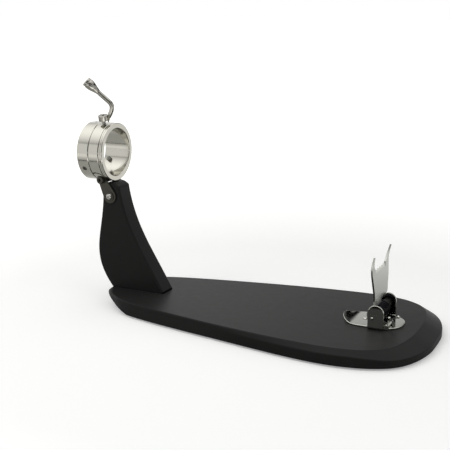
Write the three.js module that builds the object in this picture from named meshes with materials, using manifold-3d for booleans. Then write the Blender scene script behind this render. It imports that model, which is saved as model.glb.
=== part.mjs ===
// A stand that holds a whole ham for carving: a black lacquered board and post, a turning steel ring
// that grips the shank, and a folding spiked plate that carries the broad end.
// Millimetres. X runs along the board from its narrow end, Y is across it, Z is up from the floor.
// The finished stand is moved so that its origin is the middle of its footprint, on the floor.
import * as THREE from "three";
import { mergeVertices } from "three/addons/utils/BufferGeometryUtils.js";
import Module from "manifold-3d";

const wasm = await Module();
wasm.setup();

// Clearances
const FIT = 0.3; // between two pieces that touch or turn in each other
const OVERRUN = 20; // how far a cutting solid runs past what it cuts

// Board: the narrow end of its top face is at X = 0
const BOARD_LENGTH = 568;
const BOARD_WIDTH = 289;
// outline of the top face, as shares of its length and of its half width
const PLAN_SHARES = [
  [0, 0], [0.0035, 0.1661], [0.0141, 0.2837], [0.0546, 0.4291], [0.1092, 0.5606], [0.2165, 0.6817],
  [0.4085, 0.8304], [0.5775, 0.9343], [0.7218, 0.9931], [0.8151, 1], [0.8838, 0.9585],
  [0.9313, 0.8651], [0.9648, 0.7336], [0.9859, 0.5329], [0.9982, 0.263], [1, 0],
];
const BOARD_THICKNESS = 25;
const BOARD_EDGE = 1.5; // small bevel round the top face
const BOARD_STEPS = 48; // points on each side of the plan
const FLARE_REACH = 328; // from the broad end to where the sides begin to lean out
const CHAMFER_REACH = 83; // from the broad end to where the end chamfer begins
const FLARE_SIDE = 9; // lean of the long sides
const FLARE_END = 27; // lean of the chamfer at the broad end
const CHAMFER_DROP_SIDE = 6;
const CHAMFER_DROP_END = 12.5;
const BOW_LENGTH = 72; // the underside rises to the narrow end over this length
const BOW_LIP = 3; // thickness left at the narrow end

// Feet
const FOOT_HEIGHT = 3;
const FOOT_RADIUS = 9;
// shares of the board's length and half width
const FOOT_SHARES = [[0.176, 0.4844], [0.176, -0.4844], [0.8803, 0.7751], [0.8803, -0.7751]];
const FOOT_SCREW_RADIUS = 2;
const FOOT_SCREW_HEAD_RADIUS = 4;
const FOOT_SCREW_HEAD = 1.2;
const FOOT_SCREW_DEPTH = 12; // into the board
const FOOT_SCREW_RECESS = 0.7; // the head sits this far above the floor

// Post
const POST_THICKNESS = 38;
const POST_EDGE = 4; // rounded corners of the post
const POST_FOOT_BACK = 2;
const POST_FOOT_FRONT = 108.5;
const POST_TOP_RADIUS = 25; // the top is an arc round the tilt axis
const POST_TOP_BACK = 131; // degrees on that arc
const POST_TOP_FRONT = 45;
const POST_BACK_CURVE = [-52.6, 65.7, 1.2, -89]; // handles of the back, from foot and from top
const POST_FRONT_CURVE = [12.6, -78, -39.4, 70.8]; // handles of the front, from top and from foot
const POST_SCREW_SPOTS = [60, 82];
const POST_SCREW_RADIUS = 4;
const POST_SCREW_HEAD_RADIUS = 7;
const POST_SCREW_HEAD = 4.5;
const POST_SCREW_SEAT = 12; // height of the head's seat above the underside
const POST_SCREW_DEPTH = 30; // into the post
const DOWEL_SPOTS = [30, 98];
const DOWEL_RADIUS = 4;
const DOWEL_HALF = 9;

// Tilting head: two links hang the ring's housing on the post
const TILT_X = 3.7;
const TILT_Z = 197.5;
const LINK_THICKNESS = 3;
const LINK_FOOT_RADIUS = 12.5;
const LINK_HEAD_RADIUS = 7.5;
const LINK_SCREW_RADIUS = 3;
const LINK_SCREW_HEAD_RADIUS = 5.5;
const LINK_SCREW_HEAD = 3;
const LINK_SCREW_DEPTH = 15;
const WASHER_RADIUS = 8.5;
const WASHER_THICKNESS = 1.2;
const LUG_SHIFT = -15.7; // from the tilt axis towards the narrow end
const LUG_RISE = 29.2; // above the tilt axis
const LUG_RADIUS = 7;
const LUG_SINK = 3.3; // depth of the lug's axis inside the ring's surface
const LUG_BOLT_RADIUS = 3;
const LUG_BOLT_HEAD_RADIUS = 6.8;
const LUG_BOLT_HEAD = 6.5;
const LUG_NUT_RADIUS = 6.2;
const LUG_NUT_HEIGHT = 5;
const RELIEF_RADIUS = 14; // shallow groove round the link's seat
const RELIEF_WIDTH = 1.3;
const RELIEF_DEPTH = 1.5;

// Ring, along its own axis from its middle
const RING_SHIFT = -5.5; // its middle from the lug's axis
const RING_RADIUS = 51.8;
const RING_HALF_WIDTH = 25.9;
const RING_WALL = 9.3;
const SLEEVE_WALL = 1.5;
const COLLAR_SEAM = -2.6;
const FLANGE_SEAM = 18.2;
const FLANGE_GROOVE = 22.2;
const SEAM_GAP = 0.4;
const SEAM_BEVEL = 0.6;
const RIM_BEVEL = 0.9;
const RING_SIDES = 60;

// Pointed screws that grip the shank
const GRIP_ANGLES = [0, 120, 240]; // degrees round the ring from the top
const GRIP_RADIUS = 4;
const GRIP_LENGTH = 15;
const GRIP_POINT = 4.5;
const GRIP_STANDOUT = 9.5; // how far the point stands into the bore
const GRIP_SOCKET = 2.2;
const GRIP_SOCKET_DEPTH = 4;

// Brake screw and its lever, along the screw from the ring's axis
const BRAKE_LEAN = 13; // degrees towards the user
const LEVER_TURN = 20; // degrees round the screw
const STEM_RADIUS = 3;
const PAD_THICKNESS = 3;
const HUB_GAP = 6; // stem seen between ring and hub
const HUB_RADIUS = 8.7;
const HUB_HEIGHT = 10.5;
const HUB_ROOF = 2.5;
const CAP_SCREW_RADIUS = 1.2;
const CAP_SCREW_HEAD_RADIUS = 2;
const CAP_SCREW_HEAD = 1.9;
const CAP_SCREW_DEPTH = 6;
const ARM_RADIUS = 4.3;
const ARM_TAIL_RADIUS = 1.4;
const ARM_TAIL_SINK = 2; // depth of the weld between arm and hub
const ARM_TAIL_RISE = 3; // height of the tail above the ring
const ARM_WELD_RISE = 10; // height above the ring where the arm is full
// the arm's middle line: distance from the screw's axis, and height above the ring
const ARM_ROUTE = [[14, 18], [17.2, 24.4], [18.6, 31], [16, 38.4], [8.5, 47]];
const ARM_ANGLE = 131; // degrees, direction of the arm's straight end
const ARM_STRAIGHT = 13.5;
const SPIGOT_RADIUS = 2.2;
const SPIGOT_LENGTH = 7;
// the knob's outline: distance along it, and radius
const KNOB_OUTLINE = [[0, 4.4], [3, 4.7], [8, 6], [13, 7.6], [18, 8.7], [22, 9], [25, 8.7]];
const KNOB_CAP_RADIUS = 8.6;
const KNOB_CAP_LENGTH = 4.6;
const KNOB_CAP_DOME = 1.2;

// Rear mount: a bent plate with two ears
const PLATE_THICKNESS = 3;
const PLATE_HALF_WIDTH = 34.5;
const PLATE_REACH = 42; // from the pin to the plate's broad end
const PLATE_CORNER = 31;
const TONGUE_REACH = 58.1; // from the pin to the tongue's tip
const TONGUE_CORNER = 34;
const SCOOP_REACH = 38; // from the pin to where the tongue begins to bend up
const SCOOP_RADIUS = 32;
const SCOOP_ANGLE = 41;
const SCOOP_LIP = 1;
const EAR_OFFSET = 5.5; // middle of the ears behind the pin
const EAR_HALF_WIDTH = 13;
const EAR_HEIGHT = 40.2; // above the board
const EAR_GAP = 73.6; // between the ears
const PLATE_SCREW_OFFSETS = [[-22.1, 0], [10.9, 20], [10.9, -20]]; // from the pin, and across
const PLATE_SCREW_RADIUS = 2.2;
const PLATE_SCREW_HEAD_RADIUS = 4.2;
const PLATE_SCREW_HEAD = 1.6;
const PLATE_SCREW_DEPTH = 14;
const PLATE_SCREW_POINT = 3.7;

// Folding spiked plate on its pin
const PIN_INSET = 69.9; // from the board's broad end
const PIN_HEIGHT = 18.1; // above the board
const PIN_RADIUS = 2.5;
const PIN_END = 1.2; // dome past the ears
const PIN_HEAD_RADIUS = 4;
const KNUCKLE_RADIUS = 5.6;
const KNUCKLE_LENGTH = 15;
const BLADE_THICKNESS = 3;
const BLADE_FOOT = 24.4; // lower edge of its broad part above the pin's axis
const NECK_WIDTH = 13;
// lower edge of the broad part over the spring, on the neck's side: station across, and height
const NECK_EDGE = [[-21, 15.5], [-18, 18.6], [-3, 17.4], [-1.5, 19.4], [-1.5, 22]];
const BLADE_SIDE_GAP = 0.4; // to each ear
const BLADE_SHOULDER = 4; // bevel at the foot of the broad part
// half width of the spiked plate by height above the pin, up to the horn's point
const BLADE_EDGE = [[27, 36.4], [40, 38], [55, 42.5], [75, 46], [88, 47.2], [102.3, 46.8]];
const HORN_INNER = [[92, 42.5], [83, 36], [77, 29]];
const TEETH = 5;
const TEETH_TOP = 76;
const TEETH_ROOT = 69.5;
const TEETH_SPAN = 54;
// how far the plate's rear face bows out of the upright, by height above the pin
const BLADE_BOW = [[0, 0.2], [28, 0.2], [54, -0.9], [75, -2.7], [87, -2.2], [104, 1.4]];
const HEEL_RADIUS = 13.4;
const HEEL_THICKNESS = 2.4;

// Springs
const SPRING_WIRE = 1.6;
const SPRING_RADIUS = 11.4;
const SPRING_TURNS = 9;
const SPRING_LEG = 13;
const SPRING_ROOM = 8; // between the last curl and the far ear
const BUSH_RADIUS = 8.2;
const CURL_STEPS = 8;
const WIRE_SIDES = 5;
const RELEASE_WIRE = 0.45;
const RELEASE_SPRING_RADIUS = 3.1;
const RELEASE_SPRING_TURNS = 2;

// Release lever on its own small pin
const RELEASE_OFFSET = 22.3; // behind the pin
const RELEASE_HEIGHT = 7; // above the board
const RELEASE_PIN_RADIUS = 1.8;
const RELEASE_PIN_HEAD_RADIUS = 3;
const RELEASE_PIN_HEAD = 1.2;
const RELEASE_BARREL_RADIUS = 3.6;
const RELEASE_NEAR = -34.5; // outer face of the near tab
const RELEASE_SPAN = 28;
const TAB_THICKNESS = 2.5;
const TAB_HALF_WIDTH = 3.8;
const RELEASE_SPRING_ROOM = 5.2;
const LEAF_THICKNESS = 2.2;
const LEAF_HALF_WIDTH = 3;
// upper face of the release lever, from its pin
const LEAF_ROUTE = [[-2.4, 2.4], [-0.6, 4.9], [2.3, 8.4], [6.1, 11.4], [10.7, 13.7], [15.7, 15.3]];
const BALL_RADIUS = 2.6;
const NOSE_THICKNESS = 3;
const NOSE_GAP = 0.5;

// Values that follow from the ones above
const BOARD_BOTTOM = FOOT_HEIGHT;
const BOARD_TOP = BOARD_BOTTOM + BOARD_THICKNESS;
const LINK_INNER = POST_THICKNESS / 2 + FIT;
const LINK_OUTER = LINK_INNER + LINK_THICKNESS;
const LUG_X = TILT_X + LUG_SHIFT;
const LUG_Z = TILT_Z + LUG_RISE;
const RING_X = LUG_X + RING_SHIFT;
const RING_Z = LUG_Z - LUG_SINK + RING_RADIUS;
const BORE_RADIUS = RING_RADIUS - RING_WALL;
const SLEEVE_RADIUS = BORE_RADIUS + SLEEVE_WALL;
const GRIP_REACH = BORE_RADIUS - GRIP_STANDOUT; // from the ring's axis to a screw's point
const PLATE_TOP = BOARD_TOP + PLATE_THICKNESS;
const PIN_X = BOARD_LENGTH - PIN_INSET;
const PIN_Z = BOARD_TOP + PIN_HEIGHT;
const PLATE_BACK = PIN_X + PLATE_REACH;
const TONGUE_TIP = PIN_X - TONGUE_REACH;
const SCOOP_START = PIN_X - SCOOP_REACH;
const EAR_X = PIN_X + EAR_OFFSET;
const EAR_INNER = EAR_GAP / 2;
const EAR_OUTER = EAR_INNER + PLATE_THICKNESS;
const RELEASE_X = PIN_X + RELEASE_OFFSET;
const RELEASE_Z = BOARD_TOP + RELEASE_HEIGHT;
const PLATE_SCREW_SPOTS = PLATE_SCREW_OFFSETS.map(([x, y]) => [PIN_X + x, y]);
const FOOT_SPOTS = FOOT_SHARES.map(([x, y]) => [x * BOARD_LENGTH, (y * BOARD_WIDTH) / 2]);

const MATERIALS = {
  lacquer: new THREE.MeshStandardMaterial({ color: 0x2c2c2b, roughness: 0.45, metalness: 0 }),
  beech: new THREE.MeshStandardMaterial({ color: 0xb98f5c, roughness: 0.7, metalness: 0 }),
  rubber: new THREE.MeshStandardMaterial({ color: 0x1c1c1c, roughness: 0.9, metalness: 0 }),
  satinSteel: new THREE.MeshStandardMaterial({ color: 0xc4c4be, roughness: 0.35, metalness: 1 }),
  polishedSteel: new THREE.MeshStandardMaterial({ color: 0xd0d0cc, roughness: 0.15, metalness: 1 }),
  darkSteel: new THREE.MeshStandardMaterial({ color: 0x66665f, roughness: 0.4, metalness: 1 }),
  zinc: new THREE.MeshStandardMaterial({ color: 0x9a9a94, roughness: 0.45, metalness: 1 }),
  springSteel: new THREE.MeshStandardMaterial({ color: 0x23232b, roughness: 0.35, metalness: 1 }),
  nylon: new THREE.MeshStandardMaterial({ color: 0x232326, roughness: 0.6, metalness: 0 }),
};

const radians = THREE.MathUtils.degToRad;
const smoothstep = THREE.MathUtils.smoothstep;

// Solids

// A closed geometry as a solid that can be cut and joined.
function solidOf(geometry) {
  const loose = geometry.index ? geometry.toNonIndexed() : geometry;
  const bare = new THREE.BufferGeometry();
  bare.setAttribute("position", loose.getAttribute("position").clone());
  const merged = mergeVertices(bare, 1e-4);
  const corners = merged.index.array;
  const triVerts = [];
  for (let i = 0; i < corners.length; i += 3) {
    const [a, b, c] = corners.slice(i, i + 3);
    if (a !== b && b !== c && c !== a) triVerts.push(a, b, c);
  }
  const vertProperties = merged.getAttribute("position").array;
  return new wasm.Manifold(
    new wasm.Mesh({ numProp: 3, vertProperties, triVerts: new Uint32Array(triVerts) }),
  );
}

function geometryOf(solid) {
  const mesh = solid.getMesh();
  const geometry = new THREE.BufferGeometry();
  const position = new THREE.BufferAttribute(new Float32Array(mesh.vertProperties), 3);
  geometry.setAttribute("position", position);
  geometry.setIndex(new THREE.BufferAttribute(new Uint32Array(mesh.triVerts), 1));
  const facets = geometry.toNonIndexed();
  facets.computeVertexNormals();
  return facets;
}

function fuse(...geometries) {
  return geometryOf(geometries.map(solidOf).reduce((whole, next) => whole.add(next)));
}

function cut(geometry, ...cutters) {
  return geometryOf(cutters.map(solidOf).reduce((rest, next) => rest.subtract(next), solidOf(geometry)));
}

function common(a, b) {
  return geometryOf(solidOf(a).intersect(solidOf(b)));
}

// Forms

// Closed rings of points joined by walls. Each end is closed by a fan, or by the triangles of the ring
// laid flat when it is not a simple round form.
function loft(rings, flatten) {
  const count = rings[0].length;
  const points = rings.flat();
  const top = (rings.length - 1) * count;
  const index = [];
  for (let i = 0; i < count; i++) {
    const j = (i + 1) % count;
    for (let k = 0; k < rings.length - 1; k++) {
      const low = k * count;
      const high = low + count;
      index.push(low + i, low + j, high + j, low + i, high + j, high + i);
    }
  }
  if (flatten) {
    for (const [a, b, c] of THREE.ShapeUtils.triangulateShape(rings[0].map(flatten), []))
      index.push(a, c, b, top + a, top + b, top + c);
  } else {
    const middle = (ring) => ring.reduce((sum, p) => sum.add(p), new THREE.Vector3()).divideScalar(count);
    points.push(middle(rings[0]), middle(rings.at(-1)));
    for (let i = 0; i < count; i++) {
      const j = (i + 1) % count;
      index.push(points.length - 2, j, i, points.length - 1, top + i, top + j);
    }
  }
  const geometry = new THREE.BufferGeometry().setFromPoints(points);
  geometry.setIndex(index);
  return geometry;
}

// The points of an outline drawn anticlockwise, each with the direction that leads out of it.
function outwards(points) {
  return points.map((point, i) => {
    const before = points[(i + points.length - 1) % points.length];
    const after = points[(i + 1) % points.length];
    const along = point.clone().sub(before).normalize().add(after.clone().sub(point).normalize());
    return { point, outward: new THREE.Vector2(along.y, -along.x).normalize() };
  });
}

// A round bar along a line of points; radiusAt gives its radius at each point.
function bar(points, radiusAt, sides) {
  const side = new THREE.Vector3();
  const rings = points.map((point, i) => {
    const before = points[Math.max(i - 1, 0)];
    const after = points[Math.min(i + 1, points.length - 1)];
    const along = after.clone().sub(before).normalize();
    if (i === 0) side.set(0, 1, 0).cross(along).lengthSq() > 0.1 || side.set(1, 0, 0);
    side.addScaledVector(along, -side.dot(along)).normalize();
    const other = along.clone().cross(side);
    return Array.from({ length: sides }, (_, k) => {
      const angle = (2 * Math.PI * k) / sides;
      return point
        .clone()
        .addScaledVector(side, radiusAt(i) * Math.cos(angle))
        .addScaledVector(other, radiusAt(i) * Math.sin(angle));
    });
  });
  return loft(rings);
}

// A round rod between two points.
function rod(from, to, radius, sides = 20) {
  const start = new THREE.Vector3(...from);
  const end = new THREE.Vector3(...to);
  const geometry = new THREE.CylinderGeometry(radius, radius, start.distanceTo(end), sides);
  const turn = new THREE.Quaternion().setFromUnitVectors(
    new THREE.Vector3(0, 1, 0),
    end.clone().sub(start).normalize(),
  );
  const middle = start.add(end).multiplyScalar(0.5);
  return geometry.applyQuaternion(turn).translate(middle.x, middle.y, middle.z);
}

// A turned piece: the outline lists distance along the axis, and radius, from its start to its end.
function turned(outline, axis, sides = 24) {
  const profile = outline.map(([along, radius]) => new THREE.Vector2(radius, along));
  const geometry = new THREE.LatheGeometry(profile, sides);
  const turn = new THREE.Quaternion().setFromUnitVectors(
    new THREE.Vector3(0, 1, 0),
    new THREE.Vector3(...axis),
  );
  return geometry.applyQuaternion(turn);
}

// A flat outline in X and Z, made thick across the stand.
function sideSlab(shape, low, high, options = {}) {
  const settings = { depth: high - low, bevelEnabled: false, curveSegments: 9, ...options };
  return new THREE.ExtrudeGeometry(shape, settings).rotateX(Math.PI / 2).translate(0, high, 0);
}

// A flat outline in X and Y, made thick upwards.
function planSlab(shape, low, high, curveSegments = 8) {
  const settings = { depth: high - low, bevelEnabled: false, curveSegments };
  return new THREE.ExtrudeGeometry(shape, settings).translate(0, 0, low);
}

// A flat outline in Y and Z, made thick along the stand.
function frontSlab(shape, low, high) {
  const settings = { depth: high - low, bevelEnabled: false };
  const stand = new THREE.Matrix4().makeBasis(
    new THREE.Vector3(0, 1, 0),
    new THREE.Vector3(0, 0, 1),
    new THREE.Vector3(1, 0, 0),
  );
  return new THREE.ExtrudeGeometry(shape, settings).applyMatrix4(stand).translate(low, 0, 0);
}

function polygon(points) {
  return new THREE.Shape(points.map(([x, y]) => new THREE.Vector2(x, y)));
}

// A shape with upright sides and a round top, on a flat foot.
function archShape(x, halfWidth, foot, crown) {
  const shape = new THREE.Shape();
  shape.moveTo(x + halfWidth, foot);
  shape.lineTo(x + halfWidth, crown - halfWidth);
  shape.absarc(x, crown - halfWidth, halfWidth, 0, Math.PI, false);
  shape.lineTo(x - halfWidth, foot);
  return shape;
}

// A wire wound round an axis along Y: the points of its middle line.
function curls(x, z, radius, from, to, turns, startAngle) {
  const steps = turns * CURL_STEPS;
  return Array.from({ length: steps + 1 }, (_, i) => {
    const angle = startAngle + (2 * Math.PI * i) / CURL_STEPS;
    return new THREE.Vector3(
      x + radius * Math.sin(angle),
      from + ((to - from) * i) / steps,
      z - radius * Math.cos(angle),
    );
  });
}

// The least gap between one curl and the next, measured on the points of the middle line.
function reportGap(name, points, wire) {
  let least = Infinity;
  for (let i = 0; i < points.length; i++)
    for (let j = i + CURL_STEPS / 2; j < points.length; j++)
      least = Math.min(least, points[i].distanceTo(points[j]) - 2 * wire);
  console.log(name + ": least gap between curls " + least.toFixed(2) + " mm");
}

function piece(name, geometry, material) {
  const mesh = new THREE.Mesh(geometry, material);
  mesh.name = name;
  return mesh;
}

// Board and feet

function makeBoard() {
  const flareStart = BOARD_LENGTH - FLARE_REACH;
  const chamferStart = BOARD_LENGTH - CHAMFER_REACH;
  const curve = new THREE.SplineCurve(
    PLAN_SHARES.map(([x, y]) => new THREE.Vector2(x * BOARD_LENGTH, (-y * BOARD_WIDTH) / 2)),
  );
  const near = curve.getSpacedPoints(BOARD_STEPS);
  const far = near.slice(1, -1).map((p) => new THREE.Vector2(p.x, -p.y)).reverse();
  const outline = outwards([...near, ...far]);
  const lean = (x) => {
    const toEnd = Math.max((x - chamferStart) / CHAMFER_REACH, 0);
    return FLARE_SIDE * smoothstep(x, flareStart, chamferStart) + (FLARE_END - FLARE_SIDE) * toEnd ** 2;
  };
  const drop = (x) =>
    CHAMFER_DROP_SIDE +
    (CHAMFER_DROP_END - CHAMFER_DROP_SIDE) * smoothstep(x, chamferStart, BOARD_LENGTH);
  const ring = (offsetAt, heightAt) =>
    outline.map(({ point, outward }) => {
      const spot = point.clone().addScaledVector(outward, offsetAt(point.x));
      return new THREE.Vector3(spot.x, spot.y, heightAt(point.x));
    });
  const body = loft([
    ring((x) => lean(x) - BOARD_EDGE, () => BOARD_BOTTOM),
    ring(lean, () => BOARD_BOTTOM + BOARD_EDGE),
    ring(lean, (x) => BOARD_TOP - BOARD_EDGE - drop(x)),
    ring(() => 0, () => BOARD_TOP - BOARD_EDGE),
    ring(() => -BOARD_EDGE, () => BOARD_TOP),
  ]);
  const rise = (BOARD_THICKNESS - BOW_LIP) / BOW_LENGTH;
  const below = BOARD_BOTTOM - OVERRUN;
  const bow = polygon([
    [-OVERRUN, below],
    [BOW_LENGTH + OVERRUN, below],
    [BOW_LENGTH + OVERRUN, BOARD_BOTTOM - OVERRUN * rise],
    [-OVERRUN, BOARD_BOTTOM + (BOW_LENGTH + OVERRUN) * rise],
  ]);
  const halfWidth = BOARD_WIDTH / 2 + OVERRUN;
  const drills = [
    ...FOOT_SPOTS.map(([x, y]) =>
      rod([x, y, below], [x, y, BOARD_BOTTOM + FOOT_SCREW_DEPTH + FIT], FOOT_SCREW_RADIUS + FIT, 12),
    ),
    ...POST_SCREW_SPOTS.flatMap((x) => [
      rod([x, 0, below], [x, 0, BOARD_TOP + OVERRUN], POST_SCREW_RADIUS + FIT, 16),
      rod([x, 0, below], [x, 0, BOARD_BOTTOM + POST_SCREW_SEAT], POST_SCREW_HEAD_RADIUS + FIT, 20),
    ]),
    ...DOWEL_SPOTS.map((x) =>
      rod([x, 0, BOARD_TOP - DOWEL_HALF], [x, 0, BOARD_TOP + OVERRUN], DOWEL_RADIUS + FIT, 16),
    ),
    ...PLATE_SCREW_SPOTS.map(([x, y]) =>
      rod([x, y, BOARD_TOP - PLATE_SCREW_DEPTH], [x, y, BOARD_TOP + OVERRUN], PLATE_SCREW_RADIUS + FIT, 12),
    ),
  ];
  const board = cut(body, sideSlab(bow, -halfWidth, halfWidth), ...drills);
  return piece("base_board", board, MATERIALS.lacquer);
}

function makeFeet() {
  const recess = FOOT_SCREW_RECESS + FOOT_SCREW_HEAD;
  return FOOT_SPOTS.flatMap(([x, y], i) => {
    const hole = FOOT_SCREW_RADIUS + FIT;
    const well = FOOT_SCREW_HEAD_RADIUS + FIT;
    const foot = turned(
      [
        [0, well],
        [0, FOOT_RADIUS - 1],
        [FOOT_HEIGHT - 0.6, FOOT_RADIUS],
        [FOOT_HEIGHT, FOOT_RADIUS],
        [FOOT_HEIGHT, hole],
        [recess + FIT, hole],
        [recess + FIT, well],
        [0, well],
      ],
      [0, 0, 1],
      18,
    );
    const screw = turned(
      [
        [FOOT_SCREW_RECESS, 0],
        [FOOT_SCREW_RECESS, FOOT_SCREW_HEAD_RADIUS],
        [recess, FOOT_SCREW_HEAD_RADIUS],
        [recess, FOOT_SCREW_RADIUS],
        [FOOT_HEIGHT + FOOT_SCREW_DEPTH - 3, FOOT_SCREW_RADIUS],
        [FOOT_HEIGHT + FOOT_SCREW_DEPTH, 0],
      ],
      [0, 0, 1],
      12,
    );
    const number = i + 1;
    return [
      piece("rubber_foot_" + number, foot.translate(x, y, 0), MATERIALS.rubber),
      piece("foot_screw_" + number, screw.translate(x, y, 0), MATERIALS.zinc),
    ];
  });
}

// Post

function makePost() {
  const onTop = (degrees) => [
    TILT_X + POST_TOP_RADIUS * Math.cos(radians(degrees)),
    TILT_Z + POST_TOP_RADIUS * Math.sin(radians(degrees)),
  ];
  const [backX, backZ] = onTop(POST_TOP_BACK);
  const [frontX, frontZ] = onTop(POST_TOP_FRONT);
  const [footOut, footUp, topOut, topUp] = POST_BACK_CURVE;
  const [crownOut, crownUp, toeOut, toeUp] = POST_FRONT_CURVE;
  const foot = BOARD_TOP - 2 * POST_EDGE;
  const at = (x, z) => new THREE.Vector2(x, z);
  const front = new THREE.CubicBezierCurve(
    at(POST_FOOT_FRONT, BOARD_TOP),
    at(POST_FOOT_FRONT + toeOut, BOARD_TOP + toeUp),
    at(frontX + crownOut, frontZ + crownUp),
    at(frontX, frontZ),
  );
  const crown = new THREE.EllipseCurve(
    TILT_X, TILT_Z, POST_TOP_RADIUS, POST_TOP_RADIUS, radians(POST_TOP_FRONT), radians(POST_TOP_BACK),
  );
  const back = new THREE.CubicBezierCurve(
    at(backX, backZ),
    at(backX + topOut, backZ + topUp),
    at(POST_FOOT_BACK + footOut, BOARD_TOP + footUp),
    at(POST_FOOT_BACK, BOARD_TOP),
  );
  const outline = outwards([
    at(POST_FOOT_BACK, foot),
    at(POST_FOOT_FRONT, foot),
    ...front.getSpacedPoints(18).slice(0, -1),
    ...crown.getPoints(8).slice(0, -1),
    ...back.getSpacedPoints(18),
  ]);
  const half = POST_THICKNESS / 2;
  const section = (inset, y) =>
    outline.map(({ point, outward }) => {
      const spot = point.clone().addScaledVector(outward, -inset);
      return new THREE.Vector3(spot.x, y, spot.y);
    });
  const quarter = [0, 45, 90].map((degrees) => [
    POST_EDGE * (1 - Math.sin(radians(degrees))),
    half - POST_EDGE * (1 - Math.cos(radians(degrees))),
  ]);
  const sections = [
    ...quarter.map(([inset, y]) => section(inset, y)),
    ...quarter.reverse().map(([inset, y]) => section(inset, -y)),
  ];
  const body = loft(sections, (p) => new THREE.Vector2(p.x, p.z));
  const floor = planSlab(
    polygon([
      [-OVERRUN, -POST_THICKNESS],
      [POST_FOOT_FRONT + OVERRUN, -POST_THICKNESS],
      [POST_FOOT_FRONT + OVERRUN, POST_THICKNESS],
      [-OVERRUN, POST_THICKNESS],
    ]),
    BOARD_TOP - OVERRUN,
    BOARD_TOP,
  );
  const drills = [
    ...POST_SCREW_SPOTS.map((x) =>
      rod(
        [x, 0, BOARD_TOP - OVERRUN],
        [x, 0, BOARD_TOP + POST_SCREW_DEPTH + FIT],
        POST_SCREW_RADIUS + FIT,
        16,
      ),
    ),
    ...DOWEL_SPOTS.map((x) =>
      rod([x, 0, BOARD_TOP - OVERRUN], [x, 0, BOARD_TOP + DOWEL_HALF], DOWEL_RADIUS + FIT, 16),
    ),
    ...[-1, 1].map((side) =>
      rod(
        [TILT_X, side * (half - LINK_SCREW_DEPTH - FIT), TILT_Z],
        [TILT_X, side * (half + OVERRUN), TILT_Z],
        LINK_SCREW_RADIUS + FIT,
        16,
      ),
    ),
  ];
  return piece("post", cut(body, floor, ...drills), MATERIALS.lacquer);
}

function makePostFixings() {
  const seat = BOARD_BOTTOM + POST_SCREW_SEAT;
  const end = BOARD_TOP + POST_SCREW_DEPTH;
  const screws = POST_SCREW_SPOTS.map((x, i) => {
    const body = turned(
      [
        [seat - FIT - POST_SCREW_HEAD, 0],
        [seat - FIT - POST_SCREW_HEAD, POST_SCREW_HEAD_RADIUS],
        [seat - FIT, POST_SCREW_HEAD_RADIUS],
        [seat - FIT, POST_SCREW_RADIUS],
        [end - POST_SCREW_RADIUS, POST_SCREW_RADIUS],
        [end, 0],
      ],
      [0, 0, 1],
      20,
    );
    const key = rod(
      [0, 0, seat - POST_SCREW_HEAD - OVERRUN],
      [0, 0, seat - POST_SCREW_HEAD / 2],
      POST_SCREW_RADIUS,
      6,
    );
    return piece("post_screw_" + (i + 1), cut(body, key).translate(x, 0, 0), MATERIALS.zinc);
  });
  const dowels = DOWEL_SPOTS.map((x, i) => {
    const reach = DOWEL_HALF - FIT;
    const body = turned(
      [
        [BOARD_TOP - reach, 0],
        [BOARD_TOP - reach, DOWEL_RADIUS - 1],
        [BOARD_TOP - reach + 1, DOWEL_RADIUS],
        [BOARD_TOP + reach - 1, DOWEL_RADIUS],
        [BOARD_TOP + reach, DOWEL_RADIUS - 1],
        [BOARD_TOP + reach, 0],
      ],
      [0, 0, 1],
      12,
    );
    return piece("post_dowel_" + (i + 1), body.translate(x, 0, 0), MATERIALS.beech);
  });
  return [...screws, ...dowels];
}

// Each screw turns in its link and bites in the post; positions are from the tilt axis.
function makeTiltScrews() {
  return ["near", "far"].flatMap((name, i) => {
    const side = i === 0 ? -1 : 1;
    const seat = LINK_OUTER + FIT + WASHER_THICKNESS + FIT;
    const crown = seat + LINK_SCREW_HEAD;
    const body = turned(
      [
        [POST_THICKNESS / 2 - LINK_SCREW_DEPTH, 0],
        [POST_THICKNESS / 2 - LINK_SCREW_DEPTH, LINK_SCREW_RADIUS],
        [seat, LINK_SCREW_RADIUS],
        [seat, LINK_SCREW_HEAD_RADIUS],
        [seat + LINK_SCREW_HEAD * 0.45, LINK_SCREW_HEAD_RADIUS],
        [seat + LINK_SCREW_HEAD * 0.85, LINK_SCREW_HEAD_RADIUS * 0.72],
        [crown, LINK_SCREW_HEAD_RADIUS * 0.4],
        [crown, 0],
      ],
      [0, side, 0],
      20,
    );
    const key = rod(
      [0, side * (seat + 0.8), 0],
      [0, side * (crown + OVERRUN), 0],
      LINK_SCREW_RADIUS * 0.65,
      6,
    );
    const washer = turned(
      [
        [LINK_OUTER + FIT, LINK_SCREW_RADIUS + FIT],
        [LINK_OUTER + FIT, WASHER_RADIUS],
        [LINK_OUTER + FIT + WASHER_THICKNESS, WASHER_RADIUS],
        [LINK_OUTER + FIT + WASHER_THICKNESS, LINK_SCREW_RADIUS + FIT],
        [LINK_OUTER + FIT, LINK_SCREW_RADIUS + FIT],
      ],
      [0, side, 0],
      20,
    );
    return [
      piece("tilt_screw_" + name, cut(body, key).translate(TILT_X, 0, TILT_Z), MATERIALS.satinSteel),
      piece("tilt_washer_" + name, washer.translate(TILT_X, 0, TILT_Z), MATERIALS.satinSteel),
    ];
  });
}

// Tilting head

const RING_FROM_TILT = [RING_X - TILT_X, 0, RING_Z - TILT_Z];
const LUG_FROM_TILT = [LUG_X - TILT_X, LUG_Z - TILT_Z];
const LUG_FROM_RING = [LUG_X - RING_X, LUG_Z - RING_Z];
const SCREW_FROM_RING_X = (COLLAR_SEAM + FLANGE_SEAM) / 2;

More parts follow.
